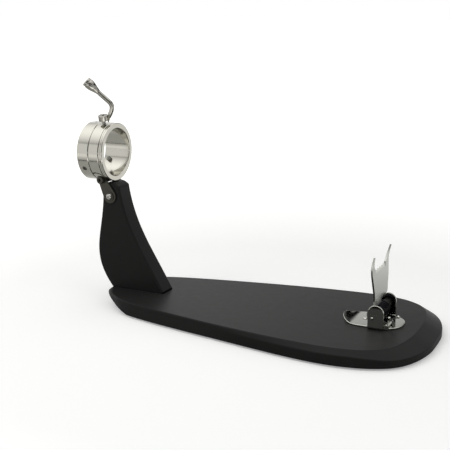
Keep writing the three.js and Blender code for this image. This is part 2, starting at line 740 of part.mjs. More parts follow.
// A link tapers from a broad round foot on the tilt axis to a narrow round head on the lug bolt.
function linkShape(grow) {
  const [lugX, lugZ] = LUG_FROM_TILT;
  const heading = Math.atan2(lugZ, lugX);
  const spread = Math.acos((LINK_FOOT_RADIUS - LINK_HEAD_RADIUS) / Math.hypot(lugX, lugZ));
  const shape = new THREE.Shape();
  shape.absarc(0, 0, LINK_FOOT_RADIUS + grow, heading + spread, heading - spread + 2 * Math.PI, false);
  shape.absarc(lugX, lugZ, LINK_HEAD_RADIUS + grow, heading - spread, heading + spread, false);
  return shape;
}

function makeLinks() {
  const shape = linkShape(0);
  const drill = (x, z, radius) =>
    shape.holes.push(new THREE.Path().absarc(x, z, radius + FIT, 0, 2 * Math.PI, true));
  drill(0, 0, LINK_SCREW_RADIUS);
  drill(...LUG_FROM_TILT, LUG_BOLT_RADIUS);
  return [
    piece("link_near", sideSlab(shape, -LINK_OUTER, -LINK_INNER), MATERIALS.darkSteel),
    piece("link_far", sideSlab(shape, LINK_INNER, LINK_OUTER), MATERIALS.darkSteel),
  ];
}

// The bolt clamps both links on the housing's lug; positions are from the ring's middle.
function makeLugBolt() {
  const [x, z] = LUG_FROM_RING;
  const seat = LINK_OUTER + FIT;
  const end = seat + LUG_NUT_HEIGHT + 2;
  const bolt = turned(
    [
      [-end, 0],
      [-end, LUG_BOLT_RADIUS],
      [seat, LUG_BOLT_RADIUS],
      [seat, LUG_BOLT_HEAD_RADIUS],
      [seat + LUG_BOLT_HEAD - 0.8, LUG_BOLT_HEAD_RADIUS],
      [seat + LUG_BOLT_HEAD, LUG_BOLT_HEAD_RADIUS - 0.8],
      [seat + LUG_BOLT_HEAD, 0],
    ],
    [0, -1, 0],
    20,
  );
  const key = rod(
    [0, -(seat + LUG_BOLT_HEAD / 2), 0],
    [0, -(seat + LUG_BOLT_HEAD + OVERRUN), 0],
    LUG_BOLT_RADIUS,
    6,
  );
  const nut = cut(
    rod([0, seat, 0], [0, seat + LUG_NUT_HEIGHT, 0], LUG_NUT_RADIUS, 6),
    rod([0, 0, 0], [0, end + OVERRUN, 0], LUG_BOLT_RADIUS + FIT, 16),
  );
  return [
    piece("lug_bolt", cut(bolt, key).translate(x, 0, z), MATERIALS.darkSteel),
    piece("lug_nut", nut.translate(x, 0, z), MATERIALS.zinc),
  ];
}

// The housing is the ring's fixed middle band, with a lug below for the bolt.
function makeHousing() {
  const bore = SLEEVE_RADIUS + FIT;
  const start = COLLAR_SEAM + SEAM_GAP / 2;
  const end = FLANGE_SEAM - SEAM_GAP / 2;
  const band = turned(
    [
      [start, bore],
      [start, RING_RADIUS - SEAM_BEVEL],
      [start + SEAM_BEVEL, RING_RADIUS],
      [end - SEAM_BEVEL, RING_RADIUS],
      [end, RING_RADIUS - SEAM_BEVEL],
      [end, bore],
      [start, bore],
    ],
    [1, 0, 0],
    RING_SIDES,
  );
  const [x, z] = LUG_FROM_RING;
  const half = POST_THICKNESS / 2;
  const lug = cut(
    rod([x, -half, z], [x, half, z], LUG_RADIUS, 28),
    rod([-RING_RADIUS, 0, 0], [RING_RADIUS, 0, 0], bore + SLEEVE_WALL / 2, RING_SIDES),
  );
  const linkRoom = (low, high) =>
    sideSlab(linkShape(FIT), low, high).translate(-RING_FROM_TILT[0], 0, -RING_FROM_TILT[2]);
  const seats = [
    linkRoom(half, LINK_OUTER + FIT),
    linkRoom(-LINK_OUTER - FIT, -half),
    ...[-1, 1].map((side) =>
      rod([x, side * LINK_OUTER, z], [x, side * RING_RADIUS, z], LUG_BOLT_HEAD_RADIUS + FIT, 28),
    ),
  ];
  const relief = cut(
    rod([x, -RING_RADIUS, z], [x, RING_RADIUS, z], RELIEF_RADIUS + RELIEF_WIDTH, 36),
    rod([x, -RING_RADIUS, z], [x, RING_RADIUS, z], RELIEF_RADIUS, 36),
    rod([-RING_RADIUS, 0, 0], [RING_RADIUS, 0, 0], RING_RADIUS - RELIEF_DEPTH, RING_SIDES),
  );
  const boltHole = rod([x, -RING_RADIUS, z], [x, RING_RADIUS, z], LUG_BOLT_RADIUS + FIT, 16);
  const lean = radians(BRAKE_LEAN);
  const outward = [SCREW_FROM_RING_X, -RING_RADIUS * 2 * Math.sin(lean), RING_RADIUS * 2 * Math.cos(lean)];
  const stemHole = rod([SCREW_FROM_RING_X, 0, 0], outward, STEM_RADIUS + FIT, 16);
  const housing = cut(fuse(band, lug), ...seats, relief, boltHole, stemHole);
  return piece("ring_housing", housing, MATERIALS.satinSteel);
}

// The sleeve turns in the housing: its flange shows in front, and the collar closes it behind.
function makeSleeve() {
  const rear = -RING_HALF_WIDTH;
  const body = turned(
    [
      [rear, BORE_RADIUS],
      [rear, SLEEVE_RADIUS],
      [FLANGE_SEAM + SEAM_GAP / 2, SLEEVE_RADIUS],
      [FLANGE_SEAM + SEAM_GAP / 2, RING_RADIUS - SEAM_BEVEL],
      [FLANGE_SEAM + SEAM_GAP / 2 + SEAM_BEVEL, RING_RADIUS],
      [FLANGE_GROOVE - SEAM_BEVEL / 2, RING_RADIUS],
      [FLANGE_GROOVE, RING_RADIUS - SEAM_BEVEL],
      [FLANGE_GROOVE + SEAM_BEVEL / 2, RING_RADIUS],
      [RING_HALF_WIDTH - RIM_BEVEL, RING_RADIUS],
      [RING_HALF_WIDTH, RING_RADIUS - RIM_BEVEL],
      [RING_HALF_WIDTH, BORE_RADIUS + RIM_BEVEL],
      [RING_HALF_WIDTH - RIM_BEVEL, BORE_RADIUS],
      [rear, BORE_RADIUS],
    ],
    [1, 0, 0],
    RING_SIDES,
  );
  return piece("ring_sleeve", cut(body, ...gripHoles()), MATERIALS.satinSteel);
}

function makeCollar() {
  const rear = -RING_HALF_WIDTH;
  const seam = COLLAR_SEAM - SEAM_GAP / 2;
  const body = turned(
    [
      [rear, SLEEVE_RADIUS + FIT],
      [rear, RING_RADIUS - RIM_BEVEL],
      [rear + RIM_BEVEL, RING_RADIUS],
      [seam - SEAM_BEVEL, RING_RADIUS],
      [seam, RING_RADIUS - SEAM_BEVEL],
      [seam, SLEEVE_RADIUS + FIT],
      [rear, SLEEVE_RADIUS + FIT],
    ],
    [1, 0, 0],
    RING_SIDES,
  );
  return piece("ring_collar", cut(body, ...gripHoles()), MATERIALS.satinSteel);
}

const GRIP_X = (COLLAR_SEAM - RING_HALF_WIDTH) / 2;

function outwardAt(degrees) {
  return [0, -Math.sin(radians(degrees)), Math.cos(radians(degrees))];
}

function gripHoles() {
  return GRIP_ANGLES.map((degrees) => {
    const [, y, z] = outwardAt(degrees);
    const reach = RING_RADIUS + OVERRUN;
    return rod([GRIP_X, 0, 0], [GRIP_X, y * reach, z * reach], GRIP_RADIUS + FIT, 16);
  });
}

function makeGripScrews() {
  const end = GRIP_REACH + GRIP_LENGTH;
  return GRIP_ANGLES.map((degrees, i) => {
    const body = turned(
      [
        [GRIP_REACH, 0],
        [GRIP_REACH + GRIP_POINT, GRIP_RADIUS],
        [end - 0.5, GRIP_RADIUS],
        [end, GRIP_RADIUS - 0.5],
        [end, 0],
      ],
      [0, 0, 1],
      16,
    );
    const socket = rod([0, 0, end - GRIP_SOCKET_DEPTH], [0, 0, end + OVERRUN], GRIP_SOCKET, 6);
    const mesh = piece("grip_screw_" + (i + 1), cut(body, socket), MATERIALS.zinc);
    mesh.position.x = GRIP_X;
    mesh.rotation.x = radians(degrees);
    return mesh;
  });
}

// Brake: positions along the screw are from the ring's axis
const HUB_BASE = RING_RADIUS + HUB_GAP;
const HUB_CROWN = HUB_BASE + HUB_HEIGHT;
const STEM_END = HUB_CROWN - HUB_ROOF - FIT;
const PAD_SEAT = SLEEVE_RADIUS + FIT + PAD_THICKNESS;

function makeBrakeScrew() {
  const stem = cut(
    turned(
      [
        [PAD_SEAT + FIT, 0],
        [PAD_SEAT + FIT, STEM_RADIUS],
        [STEM_END, STEM_RADIUS],
        [STEM_END, 0],
      ],
      [0, 0, 1],
      16,
    ),
    rod([0, 0, STEM_END - CAP_SCREW_DEPTH], [0, 0, STEM_END + OVERRUN], CAP_SCREW_RADIUS + FIT, 12),
  );
  const pad = turned(
    [
      [SLEEVE_RADIUS + FIT, 0],
      [SLEEVE_RADIUS + FIT, STEM_RADIUS - FIT],
      [PAD_SEAT, STEM_RADIUS - FIT],
      [PAD_SEAT, 0],
    ],
    [0, 0, 1],
    16,
  );
  const screw = turned(
    [
      [STEM_END - CAP_SCREW_DEPTH + FIT, 0],
      [STEM_END - CAP_SCREW_DEPTH + FIT, CAP_SCREW_RADIUS],
      [HUB_CROWN + FIT, CAP_SCREW_RADIUS],
      [HUB_CROWN + FIT, CAP_SCREW_HEAD_RADIUS],
      [HUB_CROWN + FIT + CAP_SCREW_HEAD * 0.6, CAP_SCREW_HEAD_RADIUS],
      [HUB_CROWN + FIT + CAP_SCREW_HEAD, CAP_SCREW_HEAD_RADIUS * 0.5],
      [HUB_CROWN + FIT + CAP_SCREW_HEAD, 0],
    ],
    [0, 0, 1],
    12,
  );
  return [
    piece("brake_screw", stem, MATERIALS.zinc),
    piece("brake_pad", pad, MATERIALS.nylon),
    piece("lever_screw", screw, MATERIALS.polishedSteel),
  ];
}

// The arm's middle line, from the tail beside the hub to the end of its straight.
function armLine() {
  const tail = [HUB_RADIUS - ARM_TAIL_SINK + ARM_TAIL_RADIUS, ARM_TAIL_RISE];
  const foot = [HUB_RADIUS - ARM_TAIL_SINK + ARM_RADIUS * 0.8, ARM_WELD_RISE];
  const [bendX, bendZ] = ARM_ROUTE.at(-1);
  const end = [
    bendX + ARM_STRAIGHT * Math.cos(radians(ARM_ANGLE)),
    bendZ + ARM_STRAIGHT * Math.sin(radians(ARM_ANGLE)),
  ];
  const route = [tail, foot, ...ARM_ROUTE, end];
  const curve = new THREE.CatmullRomCurve3(
    route.map(([x, z]) => new THREE.Vector3(x, 0, RING_RADIUS + z)),
    false,
    "centripetal",
  );
  return curve.getSpacedPoints(22);
}

function makeLever() {
  const line = armLine();
  const thick = 5; // points over which the tail swells to the full arm
  const straight = new THREE.Vector3(Math.cos(radians(ARM_ANGLE)), 0, Math.sin(radians(ARM_ANGLE)));
  const end = line.at(-1);
  const shoulder = end.clone().addScaledVector(straight, 0.02);
  const points = [...line, shoulder, end.clone().addScaledVector(straight, SPIGOT_LENGTH)];
  const radiusAt = (i) => {
    if (i >= line.length) return SPIGOT_RADIUS;
    return ARM_TAIL_RADIUS + (ARM_RADIUS - ARM_TAIL_RADIUS) * smoothstep(i, -1, thick);
  };
  const arm = bar(points, radiusAt, 10);
  const bevel = 0.8;
  const hub = turned(
    [
      [HUB_BASE, 0],
      [HUB_BASE, HUB_RADIUS - bevel],
      [HUB_BASE + bevel, HUB_RADIUS],
      [HUB_CROWN - bevel, HUB_RADIUS],
      [HUB_CROWN, HUB_RADIUS - bevel],
      [HUB_CROWN, 0],
    ],
    [0, 0, 1],
    24,
  );
  const lever = cut(
    fuse(hub, arm),
    rod([0, 0, RING_RADIUS - OVERRUN], [0, 0, HUB_CROWN - HUB_ROOF], STEM_RADIUS + FIT, 16),
    rod([0, 0, RING_RADIUS], [0, 0, HUB_CROWN + OVERRUN], CAP_SCREW_RADIUS + FIT, 12),
  );
  const length = KNOB_OUTLINE.at(-1)[0];
  const neck = KNOB_OUTLINE[0][0] + FIT;
  const [, endRadius] = KNOB_OUTLINE.at(-1);
  const body = KNOB_OUTLINE.map(([along, radius]) => [along + FIT, radius]);
  const knob = turned(
    [
      ...body,
      [length + FIT + 0.4, endRadius - 0.6],
      [length + FIT + 0.4, 0],
      [SPIGOT_LENGTH + FIT, 0],
      [SPIGOT_LENGTH + FIT, SPIGOT_RADIUS + FIT],
      [neck, SPIGOT_RADIUS + FIT],
      body[0],
    ],
    [0, 0, 1],
    20,
  );
  const capStart = length + 0.4 + 2 * FIT;
  const capEnd = capStart + KNOB_CAP_LENGTH;
  const cap = turned(
    [
      [capStart, 0],
      [capStart, KNOB_CAP_RADIUS],
      [capEnd - KNOB_CAP_DOME, KNOB_CAP_RADIUS],
      [capEnd - KNOB_CAP_DOME / 3, KNOB_CAP_RADIUS - KNOB_CAP_DOME / 2],
      [capEnd, KNOB_CAP_RADIUS - KNOB_CAP_DOME * 2],
      [capEnd, 0],
    ],
    [0, 0, 1],
    20,
  );
  const handle = new THREE.Group();
  handle.position.copy(end);
  handle.rotation.y = radians(90 - ARM_ANGLE);
  handle.add(piece("lever_knob", knob, MATERIALS.polishedSteel));
  handle.add(piece("lever_knob_cap", cap, MATERIALS.polishedSteel));
  return [piece("lever", lever, MATERIALS.polishedSteel), handle];
}

// Rear mount

// The tongue's side view: flat on the board, then bent up like the tip of a spoon.
function tongueShape() {
  const z = PLATE_TOP + SCOOP_RADIUS;
  const outer = SCOOP_RADIUS + PLATE_THICKNESS;
  const down = -Math.PI / 2;
  const tip = down - radians(SCOOP_ANGLE);
  const out = new THREE.Vector2(Math.cos(tip), Math.sin(tip));
  const onward = new THREE.Vector2(out.y, -out.x);
  const lip = (radius) => [
    SCOOP_START + out.x * radius + onward.x * SCOOP_LIP,
    z + out.y * radius + onward.y * SCOOP_LIP,
  ];
  const shape = new THREE.Shape();
  shape.moveTo(PLATE_BACK, PLATE_TOP);
  shape.lineTo(SCOOP_START, PLATE_TOP);
  shape.absarc(SCOOP_START, z, SCOOP_RADIUS, down, tip, true);
  shape.lineTo(...lip(SCOOP_RADIUS));
  shape.lineTo(...lip(outer));
  shape.absarc(SCOOP_START, z, outer, tip, down, false);
  shape.lineTo(PLATE_BACK, BOARD_TOP);
  return shape;
}

function platePlan() {
  const half = PLATE_HALF_WIDTH;
  const shape = new THREE.Shape();
  shape.moveTo(TONGUE_TIP + TONGUE_CORNER, -half);
  shape.lineTo(PLATE_BACK - PLATE_CORNER, -half);
  shape.absarc(PLATE_BACK - PLATE_CORNER, PLATE_CORNER - half, PLATE_CORNER, -Math.PI / 2, 0, false);
  shape.absarc(PLATE_BACK - PLATE_CORNER, half - PLATE_CORNER, PLATE_CORNER, 0, Math.PI / 2, false);
  shape.lineTo(TONGUE_TIP + TONGUE_CORNER, half);
  shape.absarc(TONGUE_TIP + TONGUE_CORNER, half - TONGUE_CORNER, TONGUE_CORNER, Math.PI / 2, Math.PI, false);
  shape.absarc(
    TONGUE_TIP + TONGUE_CORNER, TONGUE_CORNER - half, TONGUE_CORNER, Math.PI, 1.5 * Math.PI, false,
  );
  return shape;
}

const TAB_SPOTS = [RELEASE_NEAR, RELEASE_NEAR + RELEASE_SPAN - TAB_THICKNESS];

function makeRearPlate() {
  const high = BOARD_TOP + EAR_HEIGHT;
  const sheet = common(
    sideSlab(tongueShape(), -PLATE_HALF_WIDTH - 1, PLATE_HALF_WIDTH + 1),
    planSlab(platePlan(), BOARD_TOP - OVERRUN, high),
  );
  const left = EAR_X - EAR_HALF_WIDTH;
  const right = EAR_X + EAR_HALF_WIDTH;
  const bridge = planSlab(
    polygon([[left, -EAR_OUTER], [right, -EAR_OUTER], [right, EAR_OUTER], [left, EAR_OUTER]]),
    BOARD_TOP,
    PLATE_TOP,
  );
  const earShape = archShape(EAR_X, EAR_HALF_WIDTH, BOARD_TOP, high);
  const ears = [sideSlab(earShape, -EAR_OUTER, -EAR_INNER), sideSlab(earShape, EAR_INNER, EAR_OUTER)];
  const tabShape = archShape(RELEASE_X, TAB_HALF_WIDTH, BOARD_TOP, RELEASE_Z + TAB_HALF_WIDTH);
  const tabs = TAB_SPOTS.map((y) => sideSlab(tabShape, y, y + TAB_THICKNESS, { curveSegments: 8 }));
  const holes = [
    rod([PIN_X, -EAR_OUTER - OVERRUN, PIN_Z], [PIN_X, EAR_OUTER + OVERRUN, PIN_Z], PIN_RADIUS + FIT, 20),
    rod([RELEASE_X, -EAR_OUTER - OVERRUN, RELEASE_Z], [RELEASE_X, 0, RELEASE_Z], RELEASE_PIN_RADIUS + FIT, 12),
    ...PLATE_SCREW_SPOTS.map(([x, y]) =>
      rod([x, y, BOARD_TOP - OVERRUN], [x, y, PLATE_TOP + 1], PLATE_SCREW_RADIUS + FIT, 12),
    ),
  ];
  const plate = cut(fuse(sheet, bridge, ...ears, ...tabs), ...holes);
  return piece("rear_plate", plate, MATERIALS.polishedSteel);
}

function makePlateScrews() {
  return PLATE_SCREW_SPOTS.map(([x, y], i) => {
    const seat = PLATE_TOP + FIT;
    const screw = turned(
      [
        [BOARD_TOP - PLATE_SCREW_DEPTH + FIT, 0],
        [BOARD_TOP - PLATE_SCREW_DEPTH + FIT + PLATE_SCREW_POINT, PLATE_SCREW_RADIUS],
        [seat, PLATE_SCREW_RADIUS],
        [seat, PLATE_SCREW_HEAD_RADIUS],
        [seat + PLATE_SCREW_HEAD * 0.5, PLATE_SCREW_HEAD_RADIUS * 0.86],
        [seat + PLATE_SCREW_HEAD, PLATE_SCREW_HEAD_RADIUS * 0.4],
        [seat + PLATE_SCREW_HEAD, 0],
      ],
      [0, 0, 1],
      16,
    );
    return piece("plate_screw_" + (i + 1), screw.translate(x, y, 0), MATERIALS.polishedSteel);
  });
}

// The pin passes both ears: a low dome shows in front, and a flat head holds it behind.
function makePin() {
  const pin = turned(
    [
      [-EAR_OUTER - PIN_END, 0],
      [-EAR_OUTER - PIN_END, PIN_RADIUS * 0.5],
      [-EAR_OUTER - FIT, PIN_RADIUS],
      [EAR_OUTER + FIT, PIN_RADIUS],
      [EAR_OUTER + FIT, PIN_HEAD_RADIUS],
      [EAR_OUTER + FIT + PIN_END * 0.7, PIN_HEAD_RADIUS],
      [EAR_OUTER + FIT + PIN_END, PIN_HEAD_RADIUS * 0.6],
      [EAR_OUTER + FIT + PIN_END, 0],
    ],
    [0, 1, 0],
    20,
  );
  return piece("pivot_pin", pin.translate(PIN_X, 0, PIN_Z), MATERIALS.polishedSteel);
}

// The spiked plate: two tall horns at its edges and a row of small teeth between them. A neck at one
// side carries it on its knuckle, which ends in a round heel beside the spring.
const KNUCKLE_END = EAR_INNER - BLADE_SIDE_GAP;
const HEEL_Y = KNUCKLE_LENGTH - KNUCKLE_END;

function bladeFace() {
  const toothWidth = TEETH_SPAN / TEETH;
  const side = BLADE_EDGE.map(([up, out]) => [out, up]);
  const inner = HORN_INNER.map(([up, out]) => [out, up]);
  const teeth = Array.from({ length: TEETH }, (_, i) => {
    const y = TEETH_SPAN / 2 - i * toothWidth;
    return [[y, TEETH_ROOT], [y - toothWidth / 2, TEETH_TOP]];
  }).flat();
  const mirrored = (list) => list.map(([y, up]) => [-y, up]).reverse();
  const neck = [
    [-KNUCKLE_END, 0],
    [NECK_WIDTH - KNUCKLE_END, 0],
    [NECK_WIDTH - KNUCKLE_END, HEEL_RADIUS],
    ...NECK_EDGE,
    [0, BLADE_FOOT - 0.8],
    [3, BLADE_FOOT],
    [KNUCKLE_END - BLADE_SHOULDER, BLADE_FOOT],
  ];
  const outline = [
    ...neck,
    ...side,
    ...inner,
    ...teeth,
    [-TEETH_SPAN / 2, TEETH_ROOT],
    ...mirrored(inner),
    ...mirrored(side),
  ];
  return polygon(outline.map(([y, up]) => [y, PIN_Z + up]));
}

function makeBlade() {
  const rearFace = new THREE.SplineCurve(
    BLADE_BOW.map(([up, out]) => new THREE.Vector2(PIN_X + out, PIN_Z + up)),
  ).getPoints(18);
  const frontFace = rearFace.map((p) => [p.x + BLADE_THICKNESS, p.y]).reverse();
  const strip = polygon([...rearFace.map((p) => [p.x, p.y]), ...frontFace]);
  const widest = Math.max(...BLADE_EDGE.map(([, out]) => out)) + 1;
  const sheet = common(
    sideSlab(strip, -widest, widest),
    frontSlab(bladeFace(), PIN_X - OVERRUN, PIN_X + OVERRUN),
  );
  const parts = [
    sheet,
    rod([PIN_X, -KNUCKLE_END, PIN_Z], [PIN_X, HEEL_Y, PIN_Z], KNUCKLE_RADIUS, 24),
    rod([PIN_X, HEEL_Y - HEEL_THICKNESS, PIN_Z], [PIN_X, HEEL_Y, PIN_Z], HEEL_RADIUS, 28),
  ];
  const bore = rod([PIN_X, -EAR_OUTER, PIN_Z], [PIN_X, EAR_OUTER, PIN_Z], PIN_RADIUS + FIT, 20);
  return piece("spiked_plate", cut(fuse(...parts), bore), MATERIALS.satinSteel);
}

// The spring lies beside the heel on a bush; its leg presses on the mount.
function makeSpring() {
  const from = HEEL_Y + FIT + SPRING_WIRE;
  const to = EAR_INNER - SPRING_ROOM - SPRING_WIRE;
  const wound = curls(PIN_X, PIN_Z, SPRING_RADIUS, from, to, SPRING_TURNS, Math.PI);
  reportGap("fold_spring", wound, SPRING_WIRE);
  const turns = wound.slice(0, 1 - CURL_STEPS / 2);
  const last = turns.at(-1);
  const legDrop = last.z - PLATE_TOP - SPRING_WIRE - FIT;
  const leg = new THREE.Vector3(last.x + SPRING_LEG, last.y, last.z - legDrop);
  return piece("fold_spring", bar([...turns, leg], () => SPRING_WIRE, WIRE_SIDES), MATERIALS.springSteel);
}

function makeSpringBush() {
  const from = HEEL_Y + FIT;
  const to = EAR_INNER - FIT;
  const bush = turned(
    [
      [from, PIN_RADIUS + FIT],
      [from, BUSH_RADIUS],
      [to, BUSH_RADIUS],
      [to, PIN_RADIUS + FIT],
      [from, PIN_RADIUS + FIT],
    ],
    [0, 1, 0],
    24,
  );
  return piece("spring_bush", bush.translate(PIN_X, 0, PIN_Z), MATERIALS.nylon);
}

// Release lever: a curved leaf with a ball end, on a barrel whose nose reaches the near knuckle.
const BARREL_START = RELEASE_NEAR + TAB_THICKNESS + FIT;
const BARREL_END = RELEASE_NEAR + RELEASE_SPAN - TAB_THICKNESS - RELEASE_SPRING_ROOM;

function leafShape() {
  const upper = new THREE.SplineCurve(LEAF_ROUTE.map(([x, z]) => new THREE.Vector2(x, z)));
  const steps = 10;
  const top = upper.getPoints(steps);
  const under = top.map((point, i) => {
    const along = upper.getTangent(i / steps);
    return new THREE.Vector2(point.x + along.y * LEAF_THICKNESS, point.y - along.x * LEAF_THICKNESS);
  });
  return polygon([...under, ...top.reverse()].map((p) => [RELEASE_X + p.x, RELEASE_Z + p.y]));
}

function makeRelease() {
  const middle = (BARREL_START + BARREL_END) / 2;
  const [tipX, tipZ] = LEAF_ROUTE.at(-1);
  const ball = new THREE.SphereGeometry(BALL_RADIUS, 14, 10);
  ball.translate(RELEASE_X + tipX, middle, RELEASE_Z + tipZ - LEAF_THICKNESS / 2);
  const toPin = new THREE.Vector2(PIN_X - RELEASE_X, PIN_Z - RELEASE_Z);
  const reach = toPin.length() - KNUCKLE_RADIUS - NOSE_GAP;
  const ahead = toPin.clone().normalize();
  const across = new THREE.Vector2(-ahead.y, ahead.x).multiplyScalar(NOSE_THICKNESS / 2);
  const at = (along, side) => [
    RELEASE_X + ahead.x * along + across.x * side,
    RELEASE_Z + ahead.y * along + across.y * side,
  ];
  const nose = polygon([at(0, -1), at(0, 1), at(reach, 1), at(reach, -1)].reverse());
  const body = fuse(
    rod([RELEASE_X, BARREL_START, RELEASE_Z], [RELEASE_X, BARREL_END, RELEASE_Z], RELEASE_BARREL_RADIUS, 20),
    sideSlab(leafShape(), middle - LEAF_HALF_WIDTH, middle + LEAF_HALF_WIDTH),
    sideSlab(nose, BARREL_START + 1, HEEL_Y - HEEL_THICKNESS - FIT),
    ball,
  );
  const bore = rod(
    [RELEASE_X, -EAR_OUTER, RELEASE_Z],
    [RELEASE_X, 0, RELEASE_Z],
    RELEASE_PIN_RADIUS + FIT,
    12,
  );
  return piece("release_lever", cut(body, bore), MATERIALS.polishedSteel);
}

function makeReleasePin() {
  const start = RELEASE_NEAR - FIT;
  const end = RELEASE_NEAR + RELEASE_SPAN + 1;
  const pin = turned(
    [
      [start - RELEASE_PIN_HEAD, 0],
      [start - RELEASE_PIN_HEAD, RELEASE_PIN_HEAD_RADIUS * 0.6],
      [start - RELEASE_PIN_HEAD * 0.5, RELEASE_PIN_HEAD_RADIUS],
      [start, RELEASE_PIN_HEAD_RADIUS],
      [start, RELEASE_PIN_RADIUS],
      [end, RELEASE_PIN_RADIUS],
      [end, 0],
    ],
    [0, 1, 0],
    16,
  );
  return piece("release_pin", pin.translate(RELEASE_X, 0, RELEASE_Z), MATERIALS.polishedSteel);
}

function makeReleaseSpring() {
  const from = BARREL_END + FIT + RELEASE_WIRE;
  const to = RELEASE_NEAR + RELEASE_SPAN - TAB_THICKNESS - FIT - RELEASE_WIRE;
  const wound = curls(RELEASE_X, RELEASE_Z, RELEASE_SPRING_RADIUS, from, to, RELEASE_SPRING_TURNS, 0);
  reportGap("release_spring", wound, RELEASE_WIRE);
  return piece("release_spring", bar(wound, () => RELEASE_WIRE, WIRE_SIDES), MATERIALS.springSteel);
}

// Assembly

const sleeve = new THREE.Group();
sleeve.add(makeSleeve(), makeCollar(), ...makeGripScrews());

const lever = new THREE.Group();
lever.rotation.z = radians(LEVER_TURN);
lever.add(...makeLever());

const brake = new THREE.Group();
brake.position.x = SCREW_FROM_RING_X;
brake.rotation.x = radians(BRAKE_LEAN);
brake.add(...makeBrakeScrew(), lever);

const ring = new THREE.Group();
ring.position.set(...RING_FROM_TILT);
ring.add(makeHousing(), ...makeLugBolt(), sleeve, brake);

const head = new THREE.Group();
head.position.set(TILT_X, 0, TILT_Z);
head.add(...makeLinks(), ring);

const rearMount = new THREE.Group();
rearMount.add(makeRearPlate(), ...makePlateScrews(), makePin(), makeBlade(), makeSpring(), makeSpringBush());
rearMount.add(makeRelease(), makeReleasePin(), makeReleaseSpring());

const stand = new THREE.Group();
stand.add(makeBoard(), ...makeFeet(), makePost(), ...makePostFixings(), ...makeTiltScrews(), head, rearMount);

const reach = new THREE.Box3().setFromObject(stand, true);
stand.position.x = -(reach.min.x + reach.max.x) / 2;
stand.position.y = -(reach.min.y + reach.max.y) / 2;

export default stand;
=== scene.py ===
from math import acos, atan2, cos, hypot, pi, radians, sin, sqrt

import bmesh
import bpy
from mathutils import Matrix, Vector
from mathutils.geometry import interpolate_bezier


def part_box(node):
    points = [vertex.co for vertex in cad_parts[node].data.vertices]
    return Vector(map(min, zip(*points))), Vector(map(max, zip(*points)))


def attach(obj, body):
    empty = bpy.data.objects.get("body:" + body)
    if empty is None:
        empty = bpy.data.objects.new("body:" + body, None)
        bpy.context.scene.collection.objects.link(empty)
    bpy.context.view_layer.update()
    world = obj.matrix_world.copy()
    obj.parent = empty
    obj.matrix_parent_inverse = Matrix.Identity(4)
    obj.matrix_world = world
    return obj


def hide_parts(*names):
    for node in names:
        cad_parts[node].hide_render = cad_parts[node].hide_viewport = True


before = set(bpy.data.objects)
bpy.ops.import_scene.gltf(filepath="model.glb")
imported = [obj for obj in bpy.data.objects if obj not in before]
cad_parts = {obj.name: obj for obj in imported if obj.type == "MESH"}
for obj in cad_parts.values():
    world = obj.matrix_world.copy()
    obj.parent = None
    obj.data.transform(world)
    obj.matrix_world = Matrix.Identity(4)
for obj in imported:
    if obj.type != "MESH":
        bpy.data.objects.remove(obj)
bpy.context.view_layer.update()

# Camera: a long lens on the near side of the broad end, a little above the stand, looking down on it
# by about thirteen degrees.
CAMERA_SPOT = Vector((0.6028, -1.3962, 0.5318))
CAMERA_TARGET = Vector((-0.0543, 0, 0.1624))
camera = bpy.data.objects.new("camera", bpy.data.cameras.new("camera"))
camera.data.lens = 73.77
camera.data.sensor_width = 36
camera.data.clip_end = 100
camera.location = CAMERA_SPOT
camera.rotation_euler = (CAMERA_TARGET - CAMERA_SPOT).to_track_quat("-Z", "Y").to_euler()
bpy.context.scene.collection.objects.link(camera)
bpy.context.scene.camera = camera
bpy.context.scene.view_settings.view_transform = "Standard"


# Studio: a plain pale floor that runs out of sight, a white world and three soft lamps at a plain level.
# The floor keeps the stand's shadow. Metal alone is shown a greyer floor with black cards and a glowing white
# card on it, darker near a line in front of the stand. The cards and that darker band are painted shade, for
# the stand's shadow, a dark strip and the dark room behind the camera, and the white card is a painted
# highlight.
# Metal also sees a backdrop, darker towards the room behind the camera, and a ceiling.
def linear(hex_colour, alpha=1):
    channels = [int(hex_colour[i : i + 2], 16) / 255 for i in (1, 3, 5)]
    return [c / 12.92 if c <= 0.04045 else ((c + 0.055) / 1.055) ** 2.4 for c in channels] + [alpha]


def add_node(tree, kind, inputs=None, **settings):
    node = tree.nodes.new("ShaderNode" + kind)
    for name, value in settings.items():
        setattr(node, name, value)
    for name, value in (inputs or {}).items():
        if isinstance(value, bpy.types.Node):
            value = value.outputs[0]
        if isinstance(value, bpy.types.NodeSocket):
            tree.links.new(value, node.inputs[name])
        else:
            node.inputs[name].default_value = value
    return node


FLOOR_HALF = 30
WHITE = "#ffffff"
FLOOR_WHITE = "#e8e8e6"
FLOOR_IN_METAL = "#c4c4c2"
PAINTED_SHADE_BLACK = "#101010"
# The floor whitens with the metres from the stand. In metal it whitens with those from a line in front of the
# stand,
# so that it is darker near that line: a painted shadow of the stand.
NEAR_GLOW, FAR_GLOW = 0.3, 1
GLOW_REACH = (0.5, 2.2)
METAL_GLOW = 0.7
METAL_PAINTED_SHADOW_LINE = -0.2
METAL_GLOW_REACH = (0.2, 0.8)
# The black cards are painted shade that only metal sees: the stand's shadow in front of it, a thin dark strip
# further out and the dark room behind the camera.
# Each card: its middle and half its size along X, then the same along Y, in metres.
PAINTED_SHADE_CARDS = (
    (0.2, 0.25, -0.2, 0.06),
    (-0.9, 0.6, -0.425, 0.022),
    (1.1, 1.05, -2.1, 1.25),
)
# The white card glows only in metal: a painted highlight.
PAINTED_HIGHLIGHT_CARD = (0.1, 0.25, -0.43, 0.12)
PAINTED_HIGHLIGHT_GLOW = 1.5

